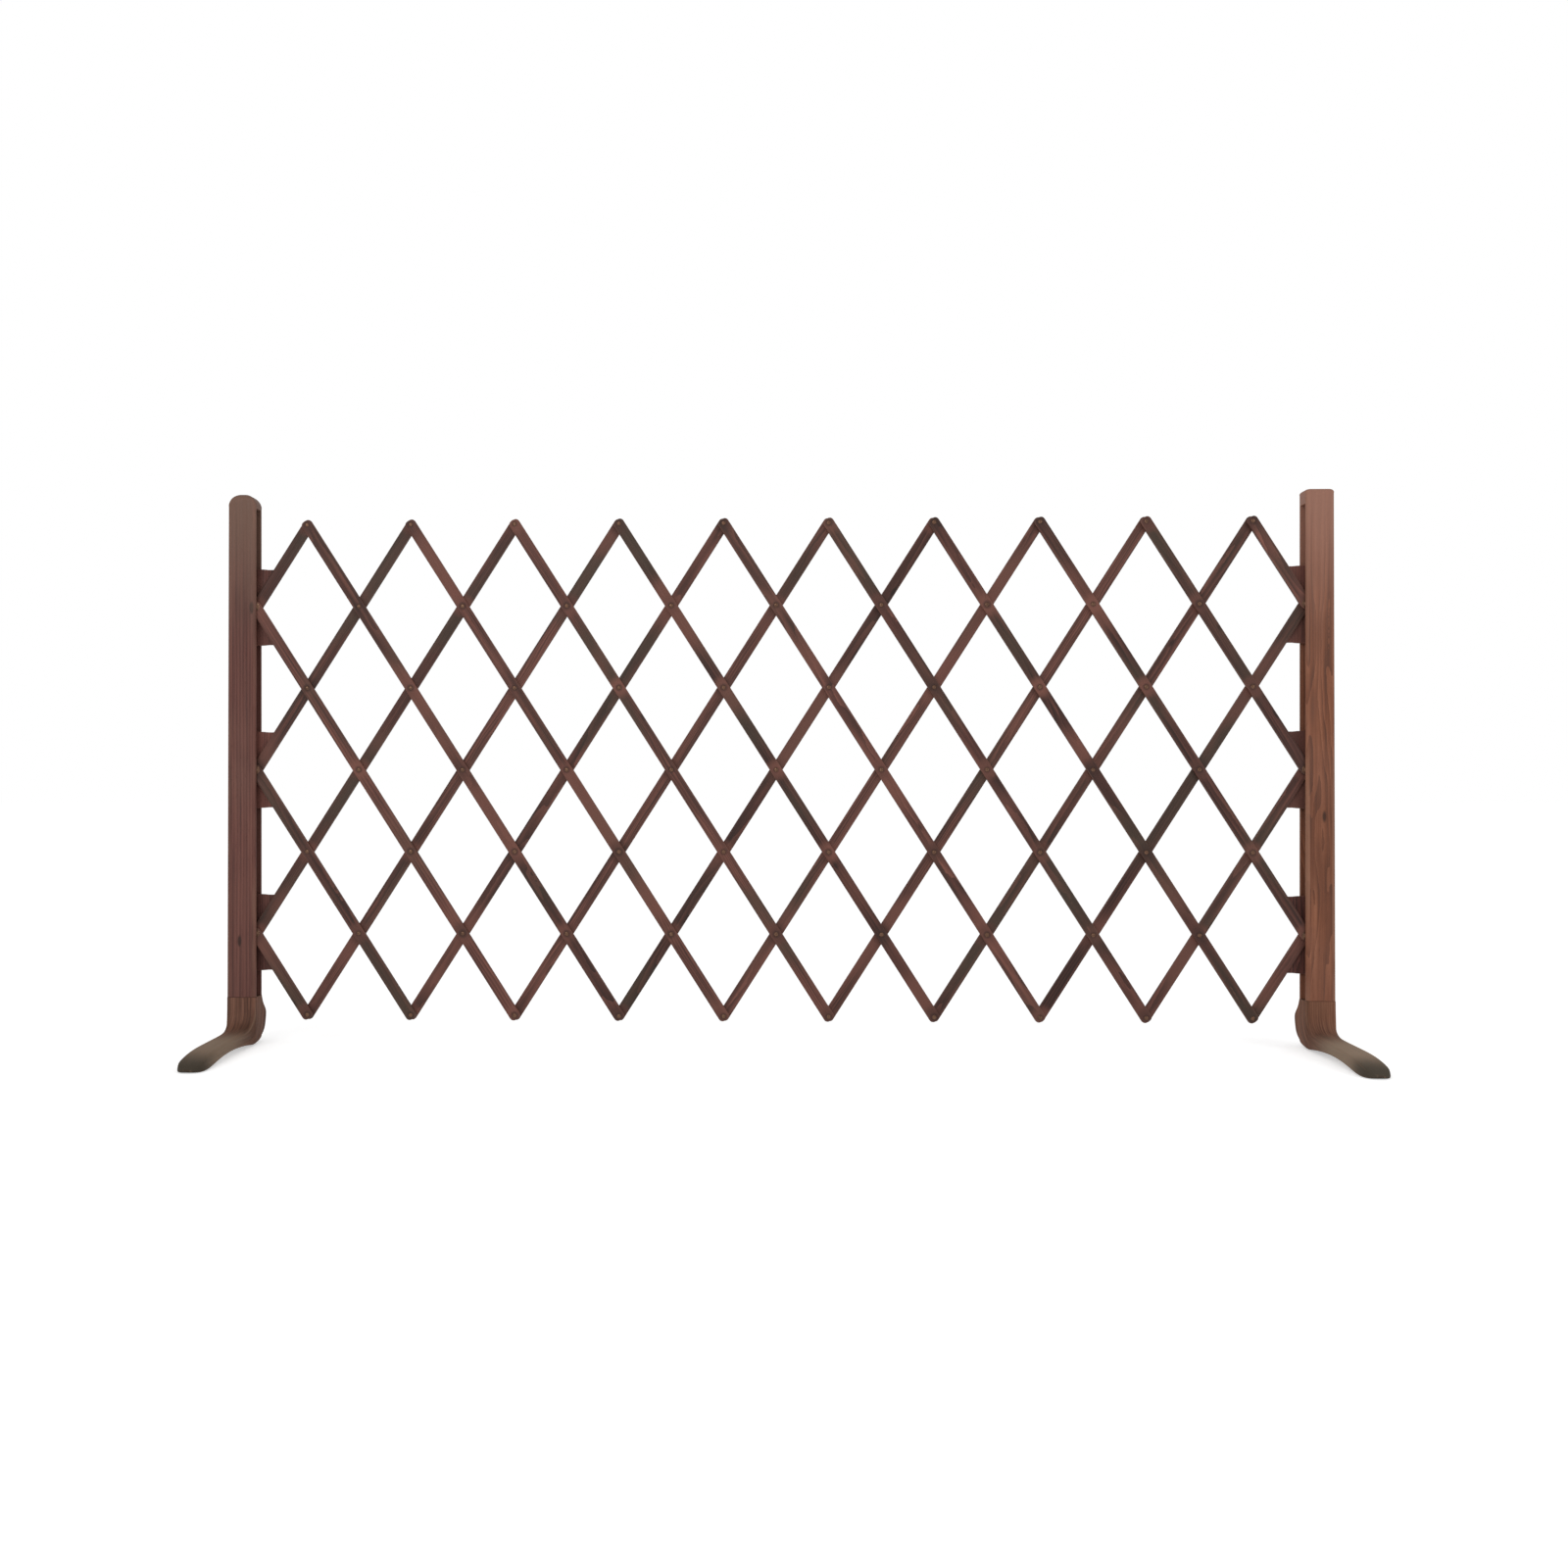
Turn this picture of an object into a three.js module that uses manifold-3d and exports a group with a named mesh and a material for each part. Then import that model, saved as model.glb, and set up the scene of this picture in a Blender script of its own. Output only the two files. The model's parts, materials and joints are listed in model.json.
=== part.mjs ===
// Expanding wooden trellis fence. A lattice of riveted slats opens and closes like lazy tongs
// between two grooved posts, and each post stands on a carved foot that reaches forward.
// Millimetres. X runs along the fence, the front looks towards -Y and Z is up. The origin is on
// the ground under the middle of the part.

import * as THREE from 'three';
import { mergeVertices } from 'three/addons/utils/BufferGeometryUtils.js';
import Module from 'manifold-3d';

const wasm = await Module();
wasm.setup();

// Fence as it stands in use
const fenceWidth = 1800;
const fenceHeight = 905;
const lowestPivotHeight = 51;
const topPivotDrop = 50;

// Lattice. Pivots lie on a grid of columns from post to post and rows from top to bottom, and a
// grid place holds a pivot where column and row add up to an even number.
const columnCount = 20;
const rowCount = 7;
const slatWidth = 18;
const slatThickness = 6;
const slatEndReach = 7;
const layerGap = 0.4;
const blockSetback = 4.8;

// Rivets through the crossings, and the loose pins at the posts
const rivetRadius = 1.8;
const rivetHeadRadius = 3.6;
const rivetHeadHeight = 1.2;
const pinRadius = 2.2;
const pinHeadRadius = 4;
const pinHeadHeight = 1.2;

// Posts
const postWidth = 48;
const postDepth = 38;
const postEdgeRadius = 6;
const leftCrownRadius = 21;
const leftCrownDepthRadius = 10;
const rightCrownRadius = 6;
const rightCrownDepthRadius = 4;

// Groove in the inner face of each post: a wide mouth, a neck and a channel for the block tails
const pivotInset = 3;
const mouthDepth = 14;
const mouthSideGap = 2.2;
const neckLength = 4;
const grooveHeadroom = 23;

// V-notched end blocks that carry the lattice and run in the grooves
const blockHeight = 128;
const blockThickness = 6;
const blockReach = 40.5;
const notchRoot = 6;
const blockWingTip = 5;
const tailWidth = 14;
const tailDepth = 8;
const tailChamfer = 1.5;

// Feet
const ankleHeight = 80;
const toeReach = 268;
const heelReach = 50;
const toeTipHeight = 8;
const toeTipLength = 14;
const toeSlopeLength = 88;
const toeShoulderHeight = 25;
const toeCornerRadius = 18;
const toeCurveShares = [[0, 0.6], [0.33, 0.85]];
const instepLength = 48;
const instepHeight = 27;
const instepTop = 56;
const heelHeight = 24;
const heelRoundLength = 20;
const heelCornerRadius = 16;
const heelCurveShares = [[0, 0.43], [1, 0.54]];
const footEdgeRadius = 4;
const waistInset = 2.5;
const archHeight = 9;
const heelPadLength = 40;
const toePadLength = 24;

// Screws that hold each foot to its post, and each bottom block in its groove
const footScrewRadius = 2.5;
const footScrewHeadRadius = 4.5;
const footScrewHeadHeight = 3;
const footScrewLength = 100;
const footScrewSpacing = 18;
const footScrewSink = 26;
const blockScrewRadius = 1.6;
const blockScrewHeadRadius = 3.8;
const blockScrewHeadHeight = 2.4;
const blockScrewLength = 19;
const screwPointLength = 4;

// Clearances, and how far a cutting solid runs past what it cuts
const runningGap = 0.3;
const slidingGap = 0.4;
const overrun = 5;

// Fineness of round stretches
const roundSides = 8;
const arcSteps = 3;
const footCurveSteps = 5;

// Places worked out from the sizes above. Depths are Y from the middle of the posts, and reaches
// are X from an end pivot towards the outside of the post that carries it.
const pivotSpan = fenceWidth - 2 * (postWidth - pivotInset);
const columnPitch = pivotSpan / columnCount;
const rowPitch = (fenceHeight - topPivotDrop - lowestPivotHeight) / (rowCount - 1);
const slatPitch = Math.hypot(columnPitch, rowPitch);
const slatAngle = Math.atan2(columnPitch, rowPitch);
const blockLayer = layerAt(blockSetback - blockThickness / 2, blockThickness);
const backLayer = layerAt(blockLayer.front - layerGap - slatThickness, slatThickness);
const frontLayer = layerAt(backLayer.front - layerGap - slatThickness, slatThickness);
const innerFaceReach = -pivotInset;
const outerFaceReach = postWidth - pivotInset;
const mouthFloorReach = mouthDepth - pivotInset;
const channelStartReach = mouthFloorReach + neckLength;
const tailStartReach = channelStartReach + slidingGap;
const tailEndReach = tailStartReach + tailDepth;
const channelEndReach = tailEndReach + slidingGap;
const grooveTop = fenceHeight - grooveHeadroom;
const footDepthCentre = (toeReach - heelReach) / 2;
const footTop = ankleHeight;
const postBase = ankleHeight + runningGap;

function layerAt(front, thickness) {
  return { front, back: front + thickness };
}

// Solids from closed meshes, and back again
function solidFrom(geometry) {
  geometry.deleteAttribute('normal');
  geometry.deleteAttribute('uv');
  const merged = mergeVertices(geometry);
  return new wasm.Manifold(new wasm.Mesh({
    numProp: 3,
    vertProperties: new Float32Array(merged.attributes.position.array),
    triVerts: new Uint32Array(merged.index.array),
  }));
}

function geometryFrom(solid) {
  const mesh = solid.getMesh();
  const geometry = new THREE.BufferGeometry();
  geometry.setAttribute('position', new THREE.BufferAttribute(mesh.vertProperties, mesh.numProp));
  geometry.setIndex(new THREE.BufferAttribute(mesh.triVerts, 1));
  geometry.computeVertexNormals();
  return geometry;
}

// Prisms from outlines drawn in plan (X, Y), in the side view (Y, Z) or in the front view (X, Z)
const axisX = new THREE.Vector3(1, 0, 0);
const axisY = new THREE.Vector3(0, 1, 0);
const axisZ = new THREE.Vector3(0, 0, 1);
const planView = new THREE.Matrix4();
const sideView = new THREE.Matrix4().makeBasis(axisY, axisZ, axisX);
const frontView = new THREE.Matrix4().makeBasis(axisX, axisZ, axisY.clone().negate());

function prism(outline, start, end, view, edgeRadius = 0, curveSteps = arcSteps) {
  const geometry = new THREE.ExtrudeGeometry(outline, {
    depth: end - start - 2 * edgeRadius,
    curveSegments: curveSteps,
    bevelEnabled: edgeRadius > 0,
    bevelThickness: edgeRadius,
    bevelSize: edgeRadius,
    bevelOffset: -edgeRadius,
    bevelSegments: arcSteps,
  });
  geometry.translate(0, 0, start + edgeRadius);
  geometry.applyMatrix4(view);
  return solidFrom(geometry);
}

function upright(outline, layer) {
  return prism(outline, -layer.back, -layer.front, frontView);
}

function polygon(points) {
  return new THREE.Shape(points.map(([x, y]) => new THREE.Vector2(x, y)));
}

// Round pieces turned about the Y axis, or about a vertical axis
function turned(profile) {
  const points = profile.map(([radius, along]) => new THREE.Vector2(radius, along));
  return solidFrom(new THREE.LatheGeometry(points, roundSides));
}

function turnedUpright(profile) {
  const points = profile.map(([radius, along]) => new THREE.Vector2(radius, along));
  return solidFrom(new THREE.LatheGeometry(points, roundSides).rotateX(Math.PI / 2));
}

function rod(radius, start, end) {
  return [[0, start], [radius, start], [radius, end], [0, end]];
}

// Finishes
function finish(color, roughness, metalness) {
  return new THREE.MeshStandardMaterial({ color, roughness, metalness });
}

const finishes = {
  leftPost: () => finish(0x734e44, 0.6, 0),
  rightPost: () => finish(0x875c4e, 0.6, 0),
  foot: () => finish(0x6a5142, 0.55, 0),
  frontSlat: () => finish(0x50382f, 0.65, 0),
  backSlat: () => finish(0x46302a, 0.65, 0),
  block: () => finish(0x64422f, 0.6, 0),
  steel: () => finish(0x5c5046, 0.4, 0.9),
};

const fence = new THREE.Group();
fence.position.y = footDepthCentre;
const group = new THREE.Group();
group.add(fence);

function addPiece(name, solid, material, x = 0, z = 0, turn = 0) {
  const mesh = new THREE.Mesh(geometryFrom(solid), material);
  mesh.name = name;
  mesh.position.set(x, 0, z);
  mesh.rotation.y = turn;
  fence.add(mesh);
}

// Grid places
function columnX(column) {
  return (column - columnCount / 2) * columnPitch;
}

function rowHeight(row) {
  return lowestPivotHeight + (rowCount - row) * rowPitch;
}

function numbered(name, index) {
  return `${name}_${String(index + 1).padStart(2, '0')}`;
}

// Slats. Each is drawn upright with its lowest pivot at the origin, then leans to its place.
function slatSolid(pivotCount, layer) {
  const halfWidth = slatWidth / 2;
  const topPivot = (pivotCount - 1) * slatPitch;
  const outline = new THREE.Shape();
  outline.moveTo(-halfWidth, 0);
  outline.absellipse(0, 0, halfWidth, slatEndReach, Math.PI, 2 * Math.PI);
  outline.lineTo(halfWidth, topPivot);
  outline.absellipse(0, topPivot, halfWidth, slatEndReach, 0, Math.PI);
  return upright(outline, layer);
}

// A rivet is fast in its front slat and turns in the back slat, where its tail is closed over.
function rivetSolid() {
  const tailStart = backLayer.back + runningGap;
  const tailEnd = tailStart + rivetHeadHeight;
  return turned([
    [0, frontLayer.front - rivetHeadHeight],
    [rivetHeadRadius, frontLayer.front - rivetHeadHeight],
    [rivetHeadRadius, frontLayer.front + rivetHeadHeight],
    [rivetRadius, frontLayer.front + rivetHeadHeight],
    [rivetRadius, tailStart],
    [rivetHeadRadius, tailStart],
    [rivetHeadRadius, tailEnd],
    [0, tailEnd],
  ]);
}

function pivotBore(radius, layer) {
  return turned(rod(radius + runningGap, layer.front - overrun, layer.back + overrun));
}

const rivet = rivetSolid();
const rivetBore = pivotBore(rivetRadius, backLayer);
const frontPinBore = pivotBore(pinRadius, frontLayer);
const backPinBore = pivotBore(pinRadius, backLayer);

function isAtPost(column) {
  return column === 0 || column === columnCount;
}

// Front slats fall to the right, so their column less their row stays the same.
function addFrontSlats() {
  for (let index = 0; 2 * index <= columnCount + rowCount - 3; index++) {
    const difference = 2 * index + 1 - rowCount;
    const topRow = Math.max(1, -difference);
    const bottomRow = Math.min(rowCount, columnCount - difference);
    let slat = slatSolid(bottomRow - topRow + 1, frontLayer);
    for (let row = topRow; row <= bottomRow; row++) {
      const along = (bottomRow - row) * slatPitch;
      if (isAtPost(difference + row)) {
        slat = slat.subtract(frontPinBore.translate(0, 0, along));
      } else {
        slat = slat.add(rivet.translate(0, 0, along));
      }
    }
    const x = columnX(difference + bottomRow);
    const z = rowHeight(bottomRow);
    addPiece(numbered('front_slat', index), slat, finishes.frontSlat(), x, z, -slatAngle);
  }
}

// Back slats rise to the right, so their column and row add up to the same.
function addBackSlats() {
  for (let index = 0; 2 * index <= columnCount + rowCount - 3; index++) {
    const sum = 2 * index + 2;
    const topRow = Math.max(1, sum - columnCount);
    const bottomRow = Math.min(rowCount, sum);
    let slat = slatSolid(bottomRow - topRow + 1, backLayer);
    for (let row = topRow; row <= bottomRow; row++) {
      const bore = isAtPost(sum - row) ? backPinBore : rivetBore;
      slat = slat.subtract(bore.translate(0, 0, (bottomRow - row) * slatPitch));
    }
    const x = columnX(sum - bottomRow);
    const z = rowHeight(bottomRow);
    addPiece(numbered('back_slat', index), slat, finishes.backSlat(), x, z, slatAngle);
  }
}

// End blocks: a V-notched plate behind the slats, and a tail that is trapped in the channel
function blockSolid(side) {
  const half = blockHeight / 2;
  const plate = polygon([
    [tailEndReach, -half],
    [tailEndReach, half],
    [-blockReach, half],
    [-blockReach, half - blockWingTip],
    [-notchRoot, 0],
    [-blockReach, blockWingTip - half],
    [-blockReach, -half],
  ].map(([reach, height]) => [side * reach, height]));
  const tailFront = blockSetback - tailWidth / 2;
  const tailBack = blockSetback + tailWidth / 2;
  const tail = polygon([
    [tailStartReach, tailFront],
    [tailEndReach - tailChamfer, tailFront],
    [tailEndReach, tailFront + tailChamfer],
    [tailEndReach, tailBack - tailChamfer],
    [tailEndReach - tailChamfer, tailBack],
    [tailStartReach, tailBack],
  ].map(([reach, depth]) => [side * reach, depth]));
  return upright(plate, blockLayer)
    .add(prism(tail, -half, half, planView))
    .subtract(pivotBore(pinRadius, blockLayer));
}

// The pin's closed ends stand clear of the front slat and of the plate.
function pinSolid() {
  const headStart = frontLayer.front - runningGap;
  const tailStart = blockLayer.back + runningGap;
  return turned([
    [0, headStart - pinHeadHeight],
    [pinHeadRadius, headStart - pinHeadHeight],
    [pinHeadRadius, headStart],
    [pinRadius, headStart],
    [pinRadius, tailStart],
    [pinHeadRadius, tailStart],
    [pinHeadRadius, tailStart + pinHeadHeight],
    [0, tailStart + pinHeadHeight],
  ]);
}

// A bottom block is held by a countersunk screw from the back of the post.
function blockScrewProfile(gap) {
  const back = postDepth / 2;
  return [
    [0, back - blockScrewLength - gap],
    [blockScrewRadius + gap, back - blockScrewLength - gap + screwPointLength],
    [blockScrewRadius + gap, back - blockScrewHeadHeight],
    [blockScrewHeadRadius + gap, back],
    [0, back],
  ];
}

function blockScrewBore() {
  const cut = turned(blockScrewProfile(runningGap));
  return cut.add(turned(rod(blockScrewHeadRadius + runningGap, postDepth / 2, postDepth / 2 + overrun)));
}

function blockScrewReach() {
  return (tailStartReach + tailEndReach) / 2;
}

function addEndBlocks(sideName, side) {
  const x = side * pivotSpan / 2;
  const screwX = side * blockScrewReach();
  const names = ['top', 'middle', 'bottom'];
  names.forEach((name, index) => {
    const z = rowHeight(2 * index + 2);
    let block = blockSolid(side);
    if (name === 'bottom') {
      block = block.subtract(blockScrewBore().translate(screwX, 0, 0));
      const screw = turned(blockScrewProfile(0));
      addPiece(`${sideName}_block_screw`, screw, finishes.steel(), x + screwX, z);
    }
    addPiece(`${sideName}_${name}_block`, block, finishes.block(), x, z);
    addPiece(`${sideName}_${name}_pin`, pinSolid(), finishes.steel(), x, z);
  });
}

// Posts. The crown is rounded in the front view and in the side view.
function roundedRectangle(halfWidth, halfDepth, radius) {
  const outline = new THREE.Shape();
  outline.moveTo(halfWidth, halfDepth - radius);
  outline.absarc(halfWidth - radius, halfDepth - radius, radius, 0, Math.PI / 2);
  outline.absarc(radius - halfWidth, halfDepth - radius, radius, Math.PI / 2, Math.PI);
  outline.absarc(radius - halfWidth, radius - halfDepth, radius, Math.PI, 1.5 * Math.PI);
  outline.absarc(halfWidth - radius, radius - halfDepth, radius, 1.5 * Math.PI, 2 * Math.PI);
  return outline;
}

function crownOutline(halfWidth, radius) {
  const outline = new THREE.Shape();
  outline.moveTo(-halfWidth, postBase);
  outline.lineTo(halfWidth, postBase);
  outline.absarc(halfWidth - radius, fenceHeight - radius, radius, 0, Math.PI / 2);
  outline.absarc(radius - halfWidth, fenceHeight - radius, radius, Math.PI / 2, Math.PI);
  return outline;
}

function grooveOutline(side) {
  const mouthFront = frontLayer.front - mouthSideGap;
  const mouthBack = blockLayer.back + mouthSideGap;
  const neckFront = blockLayer.front - slidingGap;
  const neckBack = blockLayer.back + slidingGap;
  const channelFront = blockSetback - tailWidth / 2 - slidingGap;
  const channelBack = blockSetback + tailWidth / 2 + slidingGap;
  return polygon([
    [innerFaceReach - overrun, mouthFront],
    [mouthFloorReach, mouthFront],
    [mouthFloorReach, neckFront],
    [channelStartReach, neckFront],
    [channelStartReach, channelFront],
    [channelEndReach, channelFront],
    [channelEndReach, channelBack],
    [channelStartReach, channelBack],
    [channelStartReach, neckBack],
    [mouthFloorReach, neckBack],
    [mouthFloorReach, mouthBack],
    [innerFaceReach - overrun, mouthBack],
  ].map(([reach, depth]) => [side * reach, depth]));
}

// Foot screws run up the solid wood between the channel and the outer face.
function footScrewReach() {
  return (channelEndReach + outerFaceReach) / 2;
}

function footScrewDepths() {
  return [-footScrewSpacing / 2, footScrewSpacing / 2];
}

function footScrewSolid() {
  const seat = footScrewSink - runningGap;
  const tip = seat + footScrewLength;
  return turnedUpright([
    [0, seat - footScrewHeadHeight],
    [footScrewHeadRadius, seat - footScrewHeadHeight],
    [footScrewHeadRadius, seat],
    [footScrewRadius, seat],
    [footScrewRadius, tip - screwPointLength],
    [0, tip],
  ]);
}

function footScrewBore() {
  const tip = footScrewSink + footScrewLength;
  return turnedUpright([
    [0, -overrun],
    [footScrewHeadRadius + runningGap, -overrun],
    [footScrewHeadRadius + runningGap, footScrewSink],
    [footScrewRadius + runningGap, footScrewSink],
    [footScrewRadius + runningGap, tip],
    [0, tip],
  ]);
}

function postSolid(side, crownRadius, crownDepthRadius) {
  const halfWidth = postWidth / 2;
  const halfDepth = postDepth / 2;
  const middleReach = (innerFaceReach + outerFaceReach) / 2;
  const plan = roundedRectangle(halfWidth, halfDepth, postEdgeRadius);
  const frontCrown = crownOutline(halfWidth, crownRadius);
  const sideCrown = crownOutline(halfDepth, crownDepthRadius);
  let post = prism(plan, postBase, fenceHeight, planView)
    .intersect(upright(frontCrown, layerAt(-halfDepth, postDepth)))
    .intersect(prism(sideCrown, -halfWidth, halfWidth, sideView))
    .translate(side * middleReach, 0, 0)
    .subtract(prism(grooveOutline(side), postBase - overrun, grooveTop, planView))
    .subtract(blockScrewBore().translate(side * blockScrewReach(), 0, rowHeight(rowCount - 1)));
  for (const depth of footScrewDepths()) {
    post = post.subtract(footScrewBore().translate(side * footScrewReach(), depth, 0));
  }
  return post;
}

// Feet: the side profile of a boot, rounded along its edges, and its outline from above
function alongCurve(share, start, end) {
  return [start[0] + share[0] * (end[0] - start[0]), start[1] + share[1] * (end[1] - start[1])];
}

function footProfile() {
  const front = -postDepth / 2;
  const back = postDepth / 2;
  const heelPadBack = heelReach - heelRoundLength;
  const archBack = heelPadBack - heelPadLength;
  const toePadFront = toeTipLength - toeReach;
  const archFront = toePadFront + toePadLength;
  const toeTip = [-toeReach, toeTipHeight];
  const toeShoulder = [toeSlopeLength - toeReach, toeShoulderHeight];
  const [tipLead, shoulderLead] = toeCurveShares.map((share) => alongCurve(share, toeTip, toeShoulder));
  const ankle = [back, footTop];
  const heel = [heelReach, heelHeight];
  const [ankleLead, heelLead] = heelCurveShares.map((share) => alongCurve(share, ankle, heel));
  const profile = new THREE.Shape();
  profile.moveTo(back, footTop + footEdgeRadius);
  profile.lineTo(...ankle);
  profile.bezierCurveTo(...ankleLead, ...heelLead, ...heel);
  profile.quadraticCurveTo(heelReach, 0, heelPadBack, 0);
  profile.lineTo(archBack, 0);
  profile.quadraticCurveTo((archBack + archFront) / 2, 2 * archHeight, archFront, 0);
  profile.lineTo(toePadFront, 0);
  profile.quadraticCurveTo(-toeReach, 0, ...toeTip);
  profile.bezierCurveTo(...tipLead, ...shoulderLead, ...toeShoulder);
  profile.lineTo(front - instepLength, instepHeight);
  profile.quadraticCurveTo(front, instepHeight, front, instepTop);
  profile.lineTo(front, footTop + footEdgeRadius);
  return profile;
}

function footPlan(halfWidth) {
  const heelCentre = heelReach - heelCornerRadius;
  const toeCentre = toeCornerRadius - toeReach;
  const waistBack = -postDepth / 2;
  const waistMiddle = (waistBack + toeCentre) / 2;
  const waist = halfWidth - 2 * waistInset;
  const outline = new THREE.Shape();
  outline.moveTo(halfWidth, waistBack);
  outline.absarc(halfWidth - heelCornerRadius, heelCentre, heelCornerRadius, 0, Math.PI / 2);
  outline.absarc(heelCornerRadius - halfWidth, heelCentre, heelCornerRadius, Math.PI / 2, Math.PI);
  outline.lineTo(-halfWidth, waistBack);
  outline.quadraticCurveTo(-waist, waistMiddle, -halfWidth, toeCentre);
  outline.absarc(toeCornerRadius - halfWidth, toeCentre, toeCornerRadius, Math.PI, 1.5 * Math.PI);
  outline.absarc(halfWidth - toeCornerRadius, toeCentre, toeCornerRadius, 1.5 * Math.PI, 2 * Math.PI);
  outline.quadraticCurveTo(waist, waistMiddle, halfWidth, waistBack);
  return outline;
}

function footSolid(side) {
  const halfWidth = postWidth / 2;
  const middleReach = (innerFaceReach + outerFaceReach) / 2;
  let foot = prism(footProfile(), -halfWidth, halfWidth, sideView, footEdgeRadius, footCurveSteps)
    .intersect(prism(footPlan(halfWidth), 0, footTop, planView))
    .translate(side * middleReach, 0, 0);
  for (const depth of footScrewDepths()) {
    foot = foot.subtract(footScrewBore().translate(side * footScrewReach(), depth, 0));
  }
  return foot;
}

function addPost(sideName, side, crownRadius, crownDepthRadius, postFinish) {
  const x = side * pivotSpan / 2;
  addPiece(`${sideName}_post`, postSolid(side, crownRadius, crownDepthRadius), postFinish, x);
  addPiece(`${sideName}_foot`, footSolid(side), finishes.foot(), x);
  footScrewDepths().forEach((depth, index) => {
    const screw = footScrewSolid().translate(side * footScrewReach(), depth, 0);
    addPiece(numbered(`${sideName}_foot_screw`, index), screw, finishes.steel(), x);
  });
}

addPost('left', -1, leftCrownRadius, leftCrownDepthRadius, finishes.leftPost());
addPost('right', 1, rightCrownRadius, rightCrownDepthRadius, finishes.rightPost());
addEndBlocks('left', -1);
addEndBlocks('right', 1);
addFrontSlats();
addBackSlats();

export default group;
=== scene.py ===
"""Expanding trellis fence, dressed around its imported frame.

A lattice of riveted slats opens and closes between two grooved posts, and each post stands on a
carved foot that reaches forward. Lengths are in metres, the front looks along -Y and Z is up.
"""

import json
import logging
import math
import random
from contextlib import contextmanager
from dataclasses import dataclass, field
from enum import Enum
from typing import Callable, Iterator, Mapping, Optional, Sequence, Union

import bmesh
import bpy
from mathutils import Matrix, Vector

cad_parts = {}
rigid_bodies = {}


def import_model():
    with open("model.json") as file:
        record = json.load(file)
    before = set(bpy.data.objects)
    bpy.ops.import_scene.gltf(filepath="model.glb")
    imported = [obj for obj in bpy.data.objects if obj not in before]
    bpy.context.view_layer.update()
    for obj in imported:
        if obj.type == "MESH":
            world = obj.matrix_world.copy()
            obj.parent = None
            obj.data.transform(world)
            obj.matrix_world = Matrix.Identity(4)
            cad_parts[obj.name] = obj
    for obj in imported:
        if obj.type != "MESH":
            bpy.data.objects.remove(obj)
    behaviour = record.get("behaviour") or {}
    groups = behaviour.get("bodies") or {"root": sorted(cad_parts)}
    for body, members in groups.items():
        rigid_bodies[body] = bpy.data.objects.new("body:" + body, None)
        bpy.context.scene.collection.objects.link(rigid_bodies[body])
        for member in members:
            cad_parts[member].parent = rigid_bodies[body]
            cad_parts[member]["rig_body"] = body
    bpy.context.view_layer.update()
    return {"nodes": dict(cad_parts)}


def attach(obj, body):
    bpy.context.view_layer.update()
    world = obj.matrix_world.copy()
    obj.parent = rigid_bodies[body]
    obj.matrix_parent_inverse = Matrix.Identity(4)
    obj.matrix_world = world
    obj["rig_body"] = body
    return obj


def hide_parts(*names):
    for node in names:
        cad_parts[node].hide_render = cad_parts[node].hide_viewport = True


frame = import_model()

Triple = tuple[float, float, float]
Piece = bpy.types.Object
Socket = bpy.types.NodeSocket
Feed = Union[Socket, float, Triple]
Feeds = Mapping[Union[int, str], Feed]
Curve = Sequence[tuple[float, float]]

TOUCH = 1e-6  # closer than this is in the same place
FACING = 0.9  # how squarely a face looks along an axis
NEAR = 2e-5  # the points of a section lie within this of where they were drawn out to
SIDEWAYS = 0.5  # a face of the foot that looks further along X than this is one of its sides
BROAD = 4e-5  # square metres, the least flat face that gets a margin
MARGINS_ACROSS = 3  # a face that is narrower than this many margins gets none
SMOOTH_ANGLE = 32  # degrees between faces, up to which an edge is shaded smooth
WORN_ANGLE = 24  # degrees between faces where an edge is fully rubbed
OVERRUN = 0.005  # how far a cutter sticks out of what it cuts
KNOT_BLACK = (0.012, 0.007, 0.005)
SEED = 23  # of the draws of boards and rivets

log = logging.getLogger("fence")


class Side(Enum):
    """The two ends of the fence, as seen from the front."""

    LEFT = "left"
    RIGHT = "right"

    @property
    def sign(self) -> int:
        """-1 on the left and 1 on the right."""
        return -1 if self is Side.LEFT else 1


class Level(Enum):
    """The three end blocks of a post, with the pivot row that each holds."""

    TOP = 2
    MIDDLE = 4
    BOTTOM = 6


class Family(Enum):
    """The two layers of slats. Front slats fall to the right and back slats rise to the right."""

    FRONT = "front"
    BACK = "back"

    @property
    def lean(self) -> int:
        """The way the upper end leans: -1 to the left and 1 to the right."""
        return -1 if self is Family.FRONT else 1


class Cloud(Enum):
    """Noise: its clouds to a metre along each axis, its finer layers and how strong they are."""

    FIBRE = (420, 420, 9), 5, 0.62
    STREAK = (120, 120, 2.6), 3, 0.55
    DRIFT = (24, 24, 3.2), 2, 0.55
    PATCH = (14, 14, 7), 2, 0.55
    PORE = (1300, 1300, 60), 2, 0.55
    FADING = (9, 9, 4.5), 2, 0.55
    LIGHTER = (7, 7, 6.5), 1, 0.55
    RUBBED = (5, 5, 8), 0, 0.55
    GREASY = (8, 8, 5), 0, 0.55
    TARNISH = (700, 700, 700), 3, 0.55
    SPOT = (90, 90, 90), 2, 0.55


class Pick(Enum):
    """What is picked in edit mode."""

    FACES = "FACE"
    EDGES = "EDGE"
    POINTS = "VERT"


# Workbench: what is done by hand to every piece


def take_up(*pieces: Piece) -> None:
    """Selects just these pieces and makes the first one active.

    Args:
        *pieces: The pieces to work on.
    """
    bpy.ops.object.select_all(action="DESELECT")
    for piece in pieces:
        piece.select_set(True)
    bpy.context.view_layer.objects.active = pieces[0]


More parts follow.
